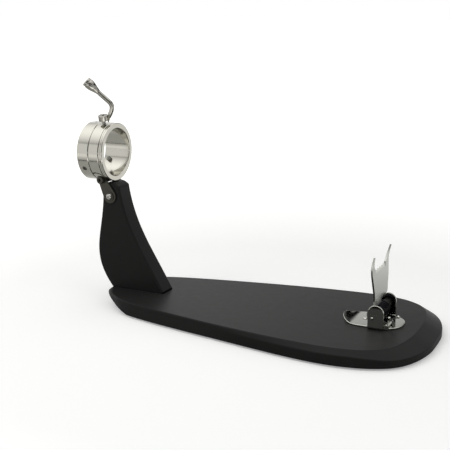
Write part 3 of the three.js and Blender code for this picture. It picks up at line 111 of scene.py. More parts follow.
floor_paint = bpy.data.materials.new("white_floor_paint")
floor_paint.use_nodes = True
tree = floor_paint.node_tree
tree.nodes.clear()
path = add_node(tree, "LightPath")
glossy, through = path.outputs["Is Glossy Ray"], path.outputs["Is Transmission Ray"]
seen_in_metal = add_node(tree, "Math", {0: glossy, 1: through}, operation="MAXIMUM")
spot = add_node(tree, "TexCoord").outputs["Object"]
across = add_node(tree, "SeparateXYZ", {0: spot})


def on_card(x, half_x, y, half_y):
    wide = add_node(tree, "Math", {0: across.outputs["X"], 1: x, 2: half_x}, operation="COMPARE")
    deep = add_node(tree, "Math", {0: across.outputs["Y"], 1: y, 2: half_y}, operation="COMPARE")
    return add_node(tree, "Math", {0: wide, 1: deep}, operation="MULTIPLY")


away = add_node(tree, "VectorMath", {0: spot}, operation="LENGTH").outputs["Value"]
glow = add_node(tree, "MapRange", {0: away, 1: GLOW_REACH[0], 2: GLOW_REACH[1], 3: NEAR_GLOW, 4: FAR_GLOW})
white_paint = add_node(tree, "BsdfDiffuse", {"Color": linear(FLOOR_WHITE)})
white_glow = add_node(tree, "Emission", {"Strength": glow})
whitened = add_node(tree, "AddShader", {0: white_paint, 1: white_glow})
to_the_eye = add_node(tree, "MixShader", {0: path.outputs["Is Camera Ray"], 1: white_paint, 2: whitened})

# Painted shadow: in metal the floor's glow drops near a line in front of the stand.
ahead = add_node(tree, "Math", {0: across.outputs["Y"], 1: METAL_PAINTED_SHADOW_LINE}, operation="SUBTRACT")
ahead = add_node(tree, "Math", {0: ahead}, operation="ABSOLUTE")
glow = add_node(
    tree, "MapRange", {0: ahead, 1: METAL_GLOW_REACH[0], 2: METAL_GLOW_REACH[1], 3: 0, 4: METAL_GLOW}
)
# Painted highlight: the white card adds glow seen only in metal.
on_painted_highlight = on_card(*PAINTED_HIGHLIGHT_CARD)
glow = add_node(tree, "Math", {0: on_painted_highlight, 1: PAINTED_HIGHLIGHT_GLOW, 2: glow}, operation="MULTIPLY_ADD")
grey_paint = add_node(tree, "BsdfDiffuse", {"Color": linear(FLOOR_IN_METAL)})
grey_glow = add_node(tree, "Emission", {"Strength": glow})
grey = add_node(tree, "AddShader", {0: grey_paint, 1: grey_glow})
# Painted shade: black where the cards lie, seen only in metal.
black = add_node(tree, "BsdfDiffuse", {"Color": linear(PAINTED_SHADE_BLACK)})
in_painted_shade = 0
for card in PAINTED_SHADE_CARDS:
    in_painted_shade = add_node(tree, "Math", {0: on_card(*card), 1: in_painted_shade}, operation="MAXIMUM")
to_metal = add_node(tree, "MixShader", {0: in_painted_shade, 1: grey, 2: black})
floor_look = add_node(tree, "MixShader", {0: seen_in_metal, 1: to_the_eye, 2: to_metal})
add_node(tree, "OutputMaterial", {"Surface": floor_look})

floor_mesh = bpy.data.meshes.new("floor")
floor_mesh.from_pydata(
    [(x * FLOOR_HALF, y * FLOOR_HALF, 0) for x, y in ((-1, -1), (1, -1), (1, 1), (-1, 1))], [], [(0, 1, 2, 3)]
)
floor_mesh.materials.append(floor_paint)
floor = bpy.data.objects.new("floor", floor_mesh)
bpy.context.scene.collection.objects.link(floor)

# The world is white to the camera and a plain light on the object. In metal its strength goes by the
# direction looked in: X towards the broad end, Y away from the camera, Z up, each from -1 to 1.
SKY_LIGHT = 0.38
BACKDROP_WHITE = 0.96
BACKDROP_TOP = (0.3, 0.41)
TALLER_BY = 0.13
TALLER_IN_FRONT, TALLER_AT_LEFT = (-0.3, 0.3), (-0.45, -0.3)
RIGHT_DIM, RIGHT_DIM_FROM = 0.6, (-0.45, -0.15)
IN_FRONT = -0.3
ROOM_SHADE, ROOM_FROM = 0.75, (0.1, 0.3)
CEILING_FROM = (0.45, 0.5)
CEILING_LOW, CEILING_HIGH, CEILING_MIDDLE = 0.7, 2.0, 0.98
SEAM_HEIGHT, SEAM_HALF, SEAM_SHADE = 0.47, 0.014, 0.45

world = bpy.data.worlds.new("studio")
bpy.context.scene.world = world
world.use_nodes = True
tree = world.node_tree
tree.nodes.clear()
path = add_node(tree, "LightPath")
glossy, through = path.outputs["Is Glossy Ray"], path.outputs["Is Transmission Ray"]
seen_in_metal = add_node(tree, "Math", {0: glossy, 1: through}, operation="MAXIMUM")
direction = add_node(tree, "SeparateXYZ", {0: add_node(tree, "TexCoord").outputs["Generated"]})
side, back, up = (direction.outputs[name] for name in "XYZ")
in_front = add_node(tree, "Math", {0: back, 1: IN_FRONT}, operation="LESS_THAN")

in_front_by = add_node(
    tree, "MapRange", {0: back, 1: TALLER_IN_FRONT[0], 2: TALLER_IN_FRONT[1], 3: -TALLER_BY, 4: 0}
)
at_left_by = add_node(
    tree, "MapRange", {0: side, 1: TALLER_AT_LEFT[0], 2: TALLER_AT_LEFT[1], 3: -TALLER_BY, 4: 0}
)
taller = add_node(tree, "Math", {0: in_front_by, 1: at_left_by}, operation="MINIMUM")
height = add_node(tree, "Math", {0: up, 1: taller}, operation="ADD")
backdrop = add_node(
    tree,
    "MapRange",
    {0: height, 1: BACKDROP_TOP[0], 2: BACKDROP_TOP[1], 3: BACKDROP_WHITE, 4: 0},
    interpolation_type="SMOOTHSTEP",
)
dim = add_node(tree, "MapRange", {0: side, 1: RIGHT_DIM_FROM[0], 2: RIGHT_DIM_FROM[1], 3: 1, 4: RIGHT_DIM})
backdrop = add_node(tree, "Math", {0: backdrop, 1: dim}, operation="MULTIPLY")
room = add_node(tree, "MapRange", {0: side, 1: ROOM_FROM[0], 2: ROOM_FROM[1], 3: 0, 4: ROOM_SHADE})
room = add_node(tree, "Math", {0: room, 1: in_front}, operation="MULTIPLY")
room = add_node(tree, "Math", {0: 1, 1: room}, operation="SUBTRACT")
backdrop = add_node(tree, "Math", {0: backdrop, 1: room}, operation="MULTIPLY")

above = add_node(
    tree,
    "MapRange",
    {0: up, 1: CEILING_FROM[0], 2: CEILING_FROM[1], 3: 0, 4: 1},
    interpolation_type="SMOOTHSTEP",
)
ceiling = add_node(
    tree, "MapRange", {0: up, 1: CEILING_FROM[1], 2: CEILING_MIDDLE, 3: CEILING_LOW, 4: CEILING_HIGH}
)
ceiling = add_node(tree, "Math", {0: above, 1: ceiling}, operation="MULTIPLY")
walls = add_node(tree, "Math", {0: backdrop, 1: ceiling}, operation="MAXIMUM")
seam = add_node(tree, "Math", {0: up, 1: SEAM_HEIGHT, 2: SEAM_HALF}, operation="COMPARE")
seam = add_node(tree, "Math", {0: seam, 1: in_front}, operation="MULTIPLY")
seam = add_node(tree, "Math", {0: seam, 1: -SEAM_SHADE, 2: 1}, operation="MULTIPLY_ADD")
walls = add_node(tree, "Math", {0: walls, 1: seam}, operation="MULTIPLY")

to_metal = add_node(tree, "Background", {"Color": linear(WHITE), "Strength": walls})
to_the_eye = add_node(tree, "Background", {"Color": linear(WHITE), "Strength": 1})
to_the_object = add_node(tree, "Background", {"Color": linear(WHITE), "Strength": SKY_LIGHT})
sky = add_node(tree, "MixShader", {0: seen_in_metal, 1: to_the_object, 2: to_metal})
sky = add_node(tree, "MixShader", {0: path.outputs["Is Camera Ray"], 1: sky, 2: to_the_eye})
add_node(tree, "OutputWorld", {"Surface": sky})

# Name, place in metres, watts, width and depth. Polished metal shows the ceiling in place of the lamps.
LAMPS = (
    ("overhead_softbox", (-0.6, -0.3, 1.9), 16, 2.2, 2.0),
    ("left_softbox", (-1.6, -1.5, 1.9), 12, 1.6, 1.3),
    ("right_softbox", (1.8, -0.6, 1.5), 7, 1.5, 1.5),
)
LAMP_AIM = Vector((0, 0, 0.1))
for name, place, watts, width, depth in LAMPS:
    lamp = bpy.data.lights.new(name, "AREA")
    lamp.shape = "RECTANGLE"
    lamp.energy = watts
    lamp.size = width
    lamp.size_y = depth
    softbox = bpy.data.objects.new(name, lamp)
    softbox.location = place
    softbox.rotation_euler = (LAMP_AIM - Vector(place)).to_track_quat("-Z", "Y").to_euler()
    softbox.visible_glossy = False
    bpy.context.scene.collection.objects.link(softbox)


# Board: one thick beech plank sawn to a long drop, its broad end chamfered and its narrow end hollowed
# below, sprayed with satin black lacquer. Millimetres, with X from the narrow end, as on the bench.
MM = 0.001
TIP_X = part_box("base_board")[0].x / MM
BOARD_FLOOR = 3
BOARD_TOP = 28
PLAN = (
    (0, 0), (2, 24), (8, 41), (31, 62), (62, 81), (123, 98.5), (232, 120), (328, 135), (410, 143.5),
    (463, 144.5), (502, 138.5), (529, 125), (548, 106), (560, 77), (567, 38), (568, 0),
)
PLAN_STEPS = 10
FLARE_FROM = 240
CHAMFER_FROM = 485
BOARD_END = 568
SIDE_LEAN, END_LEAN = 9, 18
SIDE_DROP, END_DROP = 7.5, 6.5
TOP_BREAK = (1.6, 1.2)
FACE_INSET = 6
EDGE_ROUND, EDGE_STEPS = 1.4, 4
BOW_LENGTH = 72
BOW_LIP = 3
BOW_PAST, BOW_HALF = 20, 170  # the hollowing tool reaches past the wood on every side
POST_SCREWS = (60, 82)
SCREW_HEAD_HOLE, SCREW_HOLE = 7.3, 4.3
UPRIGHT = (0, 0, 1)
SIDE = Matrix(((1, 0, 0, 0), (0, 0, 1, 0), (0, 1, 0, 0), (0, 0, 0, 1)))  # drawn in X and Z, thick along Y


def new_piece(name, points, faces, place=Matrix()):
    mesh = bpy.data.meshes.new(name)
    moved = [place @ Vector(p) for p in points]
    mesh.from_pydata([((TIP_X + p.x) * MM, p.y * MM, p.z * MM) for p in moved], [], faces)
    shell = bmesh.new()
    shell.from_mesh(mesh)
    bmesh.ops.recalc_face_normals(shell, faces=shell.faces)
    for face in shell.faces:
        face.smooth = True
    shell.to_mesh(mesh)
    shell.free()
    piece = bpy.data.objects.new(name, mesh)
    bpy.context.scene.collection.objects.link(piece)
    return piece


def loft(name, rings, place=Matrix()):
    count = len(rings[0])
    points = [p for ring in rings for p in ring]
    faces = [list(range(count)), list(range(len(points) - count, len(points)))]
    for k in range(len(rings) - 1):
        low = k * count
        for i in range(count):
            j = (i + 1) % count
            faces.append((low + i, low + j, low + count + j, low + count + i))
    return new_piece(name, points, faces, place)


def slab(name, outline, low, high, place=Matrix()):
    return loft(name, [[(*p[:2], level) for p in outline] for level in (low, high)], place)


def smooth_line(points, steps):
    knots = [Vector(p) for p in points]
    line = []
    for i in range(len(knots) - 1):
        before, here, ahead = knots[max(i - 1, 0)], knots[i], knots[i + 1]
        beyond = knots[min(i + 2, len(knots) - 1)]
        leave, arrive = (ahead - before) / 2, (beyond - here) / 2
        for k in range(steps):
            t = k / steps
            cubic = (here - ahead) * 2 + leave + arrive
            square = (ahead - here) * 3 - leave * 2 - arrive
            line.append(cubic * t**3 + square * t**2 + leave * t + here)
    return line + [knots[-1]]


def rounded(path, radius, steps=3):
    corners = [Vector(p) for p in path]
    line = [corners[0]]
    for before, corner, after in zip(corners, corners[1:], corners[2:]):
        arriving, leaving = before - corner, after - corner
        reach = min(radius, 0.45 * arriving.length, 0.45 * leaving.length)
        start = corner + arriving.normalized() * reach
        end = corner + leaving.normalized() * reach
        for i in range(steps + 1):
            t = i / steps
            line.append(start * (1 - t) ** 2 + corner * (2 * t * (1 - t)) + end * t**2)
    return line + [corners[-1]]


def outwards(points):
    facing = []
    for i, point in enumerate(points):
        along = (point - points[i - 1]).normalized() + (points[(i + 1) % len(points)] - point).normalized()
        facing.append(Vector((along.y, -along.x)).normalized())
    return facing


def ramp(x, low, high):
    t = min(max((x - low) / (high - low), 0), 1)
    return t * t * (3 - 2 * t)


def settle(piece):
    bpy.context.view_layer.update()
    graph = bpy.context.evaluated_depsgraph_get()
    mesh = bpy.data.meshes.new_from_object(piece.evaluated_get(graph))
    piece.modifiers.clear()
    shell = bmesh.new()
    shell.from_mesh(mesh)
    bmesh.ops.remove_doubles(shell, verts=shell.verts, dist=0.02 * MM)
    bmesh.ops.dissolve_degenerate(shell, edges=shell.edges, dist=0.01 * MM)
    shell.to_mesh(mesh)
    shell.free()
    piece.data = mesh


def work(piece, operation, *tools):
    for tool in tools:
        change = piece.modifiers.new("work", "BOOLEAN")
        change.operation = operation
        change.object = tool
        change.solver = "EXACT"
        settle(piece)
        bpy.data.objects.remove(tool)


def keep_flat(piece):
    flats = piece.modifiers.new("flat faces", "WEIGHTED_NORMAL")
    flats.keep_sharp = True
    return piece


def turned(name, outline, place=Matrix(), corner=0.3, steps=96):
    line = rounded(outline, corner) if corner else [Vector(p) for p in outline]
    closed = (line[0] - line[-1]).length < 1e-6
    if closed:
        line.pop()
    points, rings = [], []
    for along, out in line:
        if out < 1e-6:
            rings.append([len(points)] * steps)
            points.append((0, 0, along))
            continue
        rings.append(list(range(len(points), len(points) + steps)))
        for i in range(steps):
            points.append((out * cos(2 * pi * i / steps), out * sin(2 * pi * i / steps), along))
    faces = []
    for k in range(len(rings) if closed else len(rings) - 1):
        low, high = rings[k], rings[(k + 1) % len(rings)]
        for i in range(steps):
            j = (i + 1) % steps
            face = list(dict.fromkeys((low[i], low[j], high[j], high[i])))
            if len(face) > 2:
                faces.append(face)
    return new_piece(name, points, faces, place)


def at(x, y, z, axis=UPRIGHT):
    return Matrix.Translation((x, y, z)) @ Vector(axis).to_track_quat("Z", "Y").to_matrix().to_4x4()


def rod(x, y, z, axis, low, high, radius, steps=64):
    return turned("tool", ((low, 0), (low, radius), (high, radius), (high, 0)), at(x, y, z, axis), 0, steps)


def board_ring(corner):
    ring = []
    for point, facing in zip(board_outline, outwards(board_outline)):
        to_end = max((point.x - CHAMFER_FROM) / (BOARD_END - CHAMFER_FROM), 0)
        lean = SIDE_LEAN * ramp(point.x, FLARE_FROM, CHAMFER_FROM) + END_LEAN * to_end**2
        drop = SIDE_DROP + END_DROP * ramp(point.x, CHAMFER_FROM, BOARD_END)
        path = rounded(
            (
                (lean - FACE_INSET, BOARD_FLOOR),
                (lean, BOARD_FLOOR),
                (lean, BOARD_TOP - drop),
                (0, BOARD_TOP - TOP_BREAK[1]),
                (-TOP_BREAK[0], BOARD_TOP),
                (-FACE_INSET, BOARD_TOP),
            ),
            EDGE_ROUND,
            EDGE_STEPS,
        )
        offset, level = path[corner]
        spot = point + facing * offset
        ring.append((spot.x, spot.y, level))
    return ring


near_side = smooth_line([(x, -y) for x, y in PLAN], PLAN_STEPS)
board_outline = near_side + [Vector((p.x, -p.y)) for p in reversed(near_side[1:-1])]
board = loft("board", [board_ring(k) for k in range(2 + 4 * (EDGE_STEPS + 1))])
rise = (BOARD_TOP - BOARD_FLOOR - BOW_LIP) / BOW_LENGTH
bow = [
    (-BOW_PAST, -BOW_PAST),
    (BOW_LENGTH + BOW_PAST, -BOW_PAST),
    (BOW_LENGTH + BOW_PAST, BOARD_FLOOR - BOW_PAST * rise),
    (-BOW_PAST, BOARD_FLOOR + (BOW_LENGTH + BOW_PAST) * rise),
]
work(board, "DIFFERENCE", slab("tool", bow, -BOW_HALF, BOW_HALF, SIDE))
for x in POST_SCREWS:
    head_hole = rod(x, 0, 0, UPRIGHT, -5, 15, SCREW_HEAD_HOLE)
    work(board, "DIFFERENCE", head_hole, rod(x, 0, 0, UPRIGHT, -6, 40, SCREW_HOLE))
keep_flat(board)

LACQUER_BLACK = "#1e1e1e"
LACQUER_WORN = "#252423"
LACQUER_GLOSS = 0.075
LACQUER_SATIN = (0.32, 0.4)


def new_material(name, metallic, roughness):
    material = bpy.data.materials.new(name)
    material.use_nodes = True
    tree = material.node_tree
    shader = tree.nodes["Principled BSDF"]
    shader.inputs["Metallic"].default_value = metallic
    shader.inputs["Roughness"].default_value = roughness
    spot = add_node(tree, "TexCoord").outputs["Object"]
    return material, tree, shader, spot


def paint(piece, material):
    piece.data.materials.clear()
    piece.data.materials.append(material)


def dress(piece, material, body, node):
    paint(piece, material)
    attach(piece, body)
    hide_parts(node)


# Satin black lacquer sprayed on beech: a soft, even sheen, slightly worn in clouds, with the wood's lines
# just felt through it. They and the spray's peel are drawn about twice as coarse as real, or they would be
# too fine to show.
lacquer, tree, shader, spot = new_material("satin_black_lacquer", 0, LACQUER_SATIN[1])
shader.inputs["Specular IOR Level"].default_value = LACQUER_GLOSS
cloud = add_node(tree, "TexNoise", {"Vector": spot, "Scale": 1000 / 40, "Detail": 4, "Roughness": 0.6})
tone = add_node(
    tree,
    "Mix",
    {"Factor": cloud, 6: linear(LACQUER_BLACK), 7: linear(LACQUER_WORN)},
    data_type="RGBA",
)
tree.links.new(tone.outputs[2], shader.inputs["Base Color"])
haze = add_node(tree, "TexNoise", {"Vector": spot, "Scale": 1000 / 14, "Detail": 5})
sheen = add_node(
    tree, "MapRange", {"Value": haze, "To Min": LACQUER_SATIN[0], "To Max": LACQUER_SATIN[1]}
)
tree.links.new(sheen.outputs[0], shader.inputs["Roughness"])
along = add_node(tree, "Mapping", {"Vector": spot, "Scale": (0.04, 1, 1)})
grain = add_node(tree, "TexNoise", {"Vector": along, "Scale": 1000 / 2.2, "Detail": 3})
peel = add_node(tree, "TexNoise", {"Vector": spot, "Scale": 1000 / 1.4, "Detail": 2})
surface = add_node(tree, "Math", {0: grain, 1: peel}, operation="ADD")
relief = add_node(tree, "Bump", {"Strength": 0.12, "Distance": 0.00008, "Height": surface})
tree.links.new(relief.outputs[0], shader.inputs["Normal"])
dress(board, lacquer, "stand", "base_board")


# Feet: four turned rubber pads under the board, each held to the wood by one countersunk screw. The
# screws of feet and post are zinc plated, and the post's two dowels are beech.
FOOT_SPOTS = ((100, 70), (100, -70), (500, 112), (500, -112))
FOOT_OUTLINE = ((0, 4.3), (0, 8.2), (2.2, 9), (3, 9), (3, 2.3), (2.2, 2.3), (2.2, 4.3), (0, 4.3))

# Black rubber, turned from rod: dull, with a grey bloom of dust on its skin.
rubber, tree, shader, spot = new_material("black_rubber", 0, 0.82)
dust = add_node(tree, "TexNoise", {"Vector": spot, "Scale": 1000 / 3, "Detail": 4})
tone = add_node(
    tree, "Mix", {"Factor": dust, 6: linear("#141414"), 7: linear("#2b2a29")}, data_type="RGBA"
)
tree.links.new(tone.outputs[2], shader.inputs["Base Color"])
skin = add_node(tree, "TexNoise", {"Vector": spot, "Scale": 1000 / 0.6})
relief = add_node(tree, "Bump", {"Strength": 0.3, "Distance": 0.0001, "Height": skin})
tree.links.new(relief.outputs[0], shader.inputs["Normal"])

for number, (x, y) in enumerate(FOOT_SPOTS, 1):
    foot = keep_flat(turned(f"foot_{number}", FOOT_OUTLINE, at(x, y, 0), 0.5))
    dress(foot, rubber, "stand", f"rubber_foot_{number}")

# Zinc-plated steel: grey and slightly milky. The plating's crystals are drawn 0.9 mm across, far coarser
# than real, so that they show as a faint mottle.
fastener, tree, shader, spot = new_material("zinc_plated_steel", 1, 0.42)
crystal = add_node(tree, "TexVoronoi", {"Vector": spot, "Scale": 1000 / 0.9})
shade = crystal.outputs["Color"]
tone = add_node(tree, "Mix", {"Factor": shade, 6: linear("#8f8f8a"), 7: linear("#b4b4ad")}, data_type="RGBA")
tree.links.new(tone.outputs[2], shader.inputs["Base Color"])

# Bare planed beech: warm and dull, with fine lines along the dowel.
beech, tree, shader, spot = new_material("beech_dowel_wood", 0, 0.6)
along = add_node(tree, "Mapping", {"Vector": spot, "Scale": (1, 1, 0.08)})
grain = add_node(tree, "TexNoise", {"Vector": along, "Scale": 1000 / 0.8, "Detail": 3})
tone = add_node(
    tree, "Mix", {"Factor": grain, 6: linear("#a9824f"), 7: linear("#cda878")}, data_type="RGBA"
)
tree.links.new(tone.outputs[2], shader.inputs["Base Color"])

for name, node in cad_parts.items():
    if name.startswith(("foot_screw", "post_screw", "post_dowel")):
        paint(node, beech if "dowel" in name else fastener)


# Post: a curved beech upright, rounded along its edges and sprayed with the board. Its round top is
# struck from the tilt axis, so that the ring's links clear it at every tilt.
TILT = (3.7, 197.5)
POST_HALF = 19
POST_EDGE = 4
CROWN_RADIUS = 25
CROWN_FROM, CROWN_TO = 45, 131
LINE_POINTS, CROWN_STEPS, TURN_STEPS = 60, 24, 8
POST_FRONT, POST_BACK = 108.5, 2
FRONT_PULL = (Vector((-39.4, 70.8, 0)), Vector((12.6, -78, 0)))
BACK_PULL = (Vector((1.2, -89, 0)), Vector((-52.6, 65.7, 0)))
FRONT_FOOT_FACING, BACK_FOOT_FACING = Vector((1.14, 0)), Vector((-1.28, 0))  # level, so the foot stays flat


def crown_point(degrees):
    return Vector(
        (TILT[0] + CROWN_RADIUS * cos(radians(degrees)), TILT[1] + CROWN_RADIUS * sin(radians(degrees)), 0)
    )


front_foot, back_foot = Vector((POST_FRONT, BOARD_TOP, 0)), Vector((POST_BACK, BOARD_TOP, 0))
front_top, back_top = crown_point(CROWN_FROM), crown_point(CROWN_TO)
front_line = interpolate_bezier(
    front_foot, front_foot + FRONT_PULL[0], front_top + FRONT_PULL[1], front_top, LINE_POINTS
)
back_line = interpolate_bezier(
    back_top, back_top + BACK_PULL[0], back_foot + BACK_PULL[1], back_foot, LINE_POINTS
)
crown_turn = CROWN_TO - CROWN_FROM
crown = [crown_point(CROWN_FROM + crown_turn * i / CROWN_STEPS) for i in range(1, CROWN_STEPS)]
post_outline = [p.to_2d() for p in front_line + crown + back_line]
post_facing = outwards(post_outline)
post_facing[0] = FRONT_FOOT_FACING
post_facing[-1] = BACK_FOOT_FACING


def post_section(turn, side):
    inset = POST_EDGE * (1 - sin(turn))
    y = side * (POST_HALF - POST_EDGE * (1 - cos(turn)))
    return [(*(point - facing * inset), y) for point, facing in zip(post_outline, post_facing)]


turns = [pi / 2 * i / TURN_STEPS for i in range(TURN_STEPS + 1)]
sections = [post_section(turn, -1) for turn in turns] + [post_section(turn, 1) for turn in reversed(turns)]
post = keep_flat(loft("post", sections, SIDE))
dress(post, lacquer, "stand", "post")


# Ring: a stainless band fixed to the links, turned on a lathe and left satin, with a lug below for the
# clamping bolt. Fine tool lines run round it, under faint clouds from handling.
RING_X, RING_Z = -17.5, 275.2
RING_RADIUS = 51.8
BORE = 42.5
SLEEVE = 44
LUG = (-12, 226.7)
LUG_REACH = (LUG[0] - TILT[0], LUG[1] - TILT[1])
LINK_FOOT, LINK_HEAD = 12.5, 7.5
FOOT_STEPS, HEAD_STEPS = 48, 32
LINK_INNER, LINK_OUTER = 19.3, 22.3
LUG_RADIUS, LUG_HOLLOW = 7, 45
GROOVE_INNER, GROOVE_OUTER, GROOVE_DEPTH = 14, 16.2, 2.6
BOLT_HOLE, BOLT_SEAT = 3.3, 7.1
PLAY = 0.3
RING_STEPS = 180
THROUGH = 60  # a tool that reaches this far passes right through the head or the hinge
ALONG, ACROSS = (1, 0, 0), (0, 1, 0)
RING_AXIS = at(RING_X, 0, RING_Z, ALONG)


def round_edges(piece, width, angle, steps):
    edges = piece.modifiers.new("rounded edges", "BEVEL")
    edges.width = width * MM
    edges.segments = steps
    edges.limit_method = "ANGLE"
    edges.angle_limit = radians(angle)


def break_edges(piece, width, angle):
    round_edges(piece, width, angle, 2)
    return keep_flat(piece)


def link_outline(grow):
    heading = atan2(LUG_REACH[1], LUG_REACH[0])
    spread = acos((LINK_FOOT - LINK_HEAD) / hypot(*LUG_REACH))
    outline = []
    for i in range(FOOT_STEPS + 1):
        turn = heading + spread + (2 * pi - 2 * spread) * i / FOOT_STEPS
        outline.append((TILT[0] + (LINK_FOOT + grow) * cos(turn), TILT[1] + (LINK_FOOT + grow) * sin(turn)))
    for i in range(HEAD_STEPS + 1):
        turn = heading - spread + 2 * spread * i / HEAD_STEPS
        outline.append((LUG[0] + (LINK_HEAD + grow) * cos(turn), LUG[1] + (LINK_HEAD + grow) * sin(turn)))
    return outline


housing = turned(
    "ring_band",
    ((-2.4, 48), (-2.4, RING_RADIUS - 0.9), (-1.5, RING_RADIUS), (17.2, RING_RADIUS), (18, RING_RADIUS - 0.8),
     (18, 44.3), (-2.4, 44.3), (-2.4, 48)),
    RING_AXIS, 0.3, RING_STEPS,
)
lug = rod(LUG[0], 0, LUG[1], ACROSS, -POST_HALF, POST_HALF, LUG_RADIUS)
work(lug, "DIFFERENCE", rod(RING_X, 0, RING_Z, ALONG, -THROUGH, THROUGH, LUG_HOLLOW, RING_STEPS))
work(housing, "UNION", lug)
for side in (-1, 1):
    low, high = sorted((side * POST_HALF, side * (LINK_OUTER + PLAY)))
    work(housing, "DIFFERENCE", slab("tool", link_outline(PLAY), low, high, SIDE))
    low, high = sorted((side * LINK_OUTER, side * THROUGH))
    work(housing, "DIFFERENCE", rod(LUG[0], 0, LUG[1], ACROSS, low, high, BOLT_SEAT))
groove = turned(
    "tool",
    ((-THROUGH, GROOVE_INNER), (-THROUGH, GROOVE_OUTER), (THROUGH, GROOVE_OUTER), (THROUGH, GROOVE_INNER),
     (-THROUGH, GROOVE_INNER)),
    at(LUG[0], 0, LUG[1], ACROSS), 0,
)
work(groove, "DIFFERENCE", rod(RING_X, 0, RING_Z, ALONG, -80, 80, RING_RADIUS - GROOVE_DEPTH, RING_STEPS))
work(housing, "DIFFERENCE", groove)
work(housing, "DIFFERENCE", rod(LUG[0], 0, LUG[1], ACROSS, -THROUGH, THROUGH, BOLT_HOLE))
SCREW_X = RING_X + 7.8
SCREW_LEAN = radians(13)
UP_SCREW = (0, -sin(SCREW_LEAN), cos(SCREW_LEAN))
work(housing, "DIFFERENCE", rod(SCREW_X, 0, RING_Z, UP_SCREW, 0, 80, BOLT_HOLE))
break_edges(housing, 0.25, 50)


# Every bare steel on the stand: its finish leaves marks of one pitch and depth, in millimetres, and handling
# leaves larger clouds, and between them they sharpen or dull its reflections by about a tenth.
HANDLING_SIZE = 30
SHARPEST, DULLEST = 0.9, 1.12
MARKS_LOW, MARKS_HIGH = 0.6, 1.4


def steel(name, roughness, pale, deep, lines, line_pitch, line_depth):
    material, tree, shader, spot = new_material(name, 1, roughness)
    if lines:
        spot = lines(tree, spot)
    marks = add_node(
        tree, "TexNoise", {"Vector": spot, "Scale": 1000 / line_pitch, "Detail": 3, "Roughness": 0.6}
    )
    tone = add_node(tree, "Mix", {"Factor": marks, 6: linear(deep), 7: linear(pale)}, data_type="RGBA")
    tree.links.new(tone.outputs[2], shader.inputs["Base Color"])
    plain = add_node(tree, "TexCoord").outputs["Object"]
    handling = add_node(tree, "TexNoise", {"Vector": plain, "Scale": 1000 / HANDLING_SIZE, "Detail": 2})
    mixed = add_node(tree, "Math", {0: marks, 1: handling}, operation="ADD")
    sharp, dull = roughness * SHARPEST, roughness * DULLEST
    finish = add_node(tree, "MapRange", {0: mixed, 1: MARKS_LOW, 2: MARKS_HIGH, 3: sharp, 4: dull})
    tree.links.new(finish.outputs[0], shader.inputs["Roughness"])
    relief = add_node(tree, "Bump", {"Strength": 0.5, "Distance": line_depth * MM, "Height": marks})
    tree.links.new(relief.outputs[0], shader.inputs["Normal"])
    return material


def round_the_ring(tree, spot):
    centred = add_node(
        tree, "VectorMath", {0: spot, 1: ((TIP_X + RING_X) * MM, 0, RING_Z * MM)}, operation="SUBTRACT"
    )
    parts = add_node(tree, "SeparateXYZ", {0: centred})
    crossways = add_node(tree, "CombineXYZ", {"X": parts.outputs["Y"], "Y": parts.outputs["Z"]})
    out = add_node(tree, "VectorMath", {0: crossways}, operation="LENGTH")
    slow = add_node(tree, "Math", {0: parts.outputs["Z"], 1: 0.02}, operation="MULTIPLY")
    return add_node(tree, "CombineXYZ", {"X": parts.outputs["X"], "Y": out.outputs["Value"], "Z": slow})


# Stainless steel straight from the lathe: bright and slightly warm, with broad reflections that tool lines
# run round. The lines are drawn 0.7 mm apart, several times coarser than real, so that they show.
turned_steel = steel("turned_stainless_steel", 0.14, "#c8c6bd", "#bebcb2", round_the_ring, 0.7, 0.006)
dress(housing, turned_steel, "head", "ring_housing")


# Sleeve and collar: the part of the ring that turns in the fixed band, turned from the same stainless
# steel. A flange with one cut line shows in front of the band, and a plain collar closes it behind; three
# pointed screws of plated steel pass through both.
GRIP_X = RING_X - 14.25
GRIP_TURNS = (0, 120, 240)
GRIP_HOLE = 4.3


def grip_axis(degrees):
    return (0, -sin(radians(degrees)), cos(radians(degrees)))


def hexagon(radius):
    return [(radius * cos(pi * i / 3), radius * sin(pi * i / 3)) for i in range(6)]


sleeve = turned(
    "ring_sleeve_turned",
    ((-25, BORE), (-25.9, BORE + 0.5), (-25.9, SLEEVE), (18.4, SLEEVE), (18.4, 51), (19.2, RING_RADIUS),
     (21.9, RING_RADIUS), (22.2, 51.1), (22.5, RING_RADIUS), (25, RING_RADIUS), (25.9, 50.9), (25.9, 43.4),
     (25, BORE), (-25, BORE)),
    RING_AXIS, 0.25, RING_STEPS,
)
collar = turned(
    "ring_collar_turned",
    ((-25.9, 46), (-25.9, 50.9), (-25, RING_RADIUS), (-3.7, RING_RADIUS), (-2.8, 50.9), (-2.8, 44.3),
     (-25.9, 44.3), (-25.9, 46)),
    RING_AXIS, 0.25, RING_STEPS,
)
for degrees in GRIP_TURNS:
    for part in (sleeve, collar):
        work(part, "DIFFERENCE", rod(GRIP_X, 0, RING_Z, grip_axis(degrees), 20, 80, GRIP_HOLE))
dress(break_edges(sleeve, 0.2, 50), turned_steel, "sleeve", "ring_sleeve")
dress(break_edges(collar, 0.2, 50), turned_steel, "sleeve", "ring_collar")

for number, degrees in enumerate(GRIP_TURNS, 1):
    place = at(GRIP_X, 0, RING_Z, grip_axis(degrees))
    grip = turned(
        f"pointed_screw_{number}", ((33, 0), (37.5, 3.6), (38, 4), (47.5, 4), (48, 3.5), (48, 0)),
        place, 0.2, 48,
    )
    work(grip, "DIFFERENCE", slab("tool", hexagon(2.2), 44, 60, place))
    dress(break_edges(grip, 0.12, 50), fastener, f"grip_{number}", f"grip_screw_{number}")


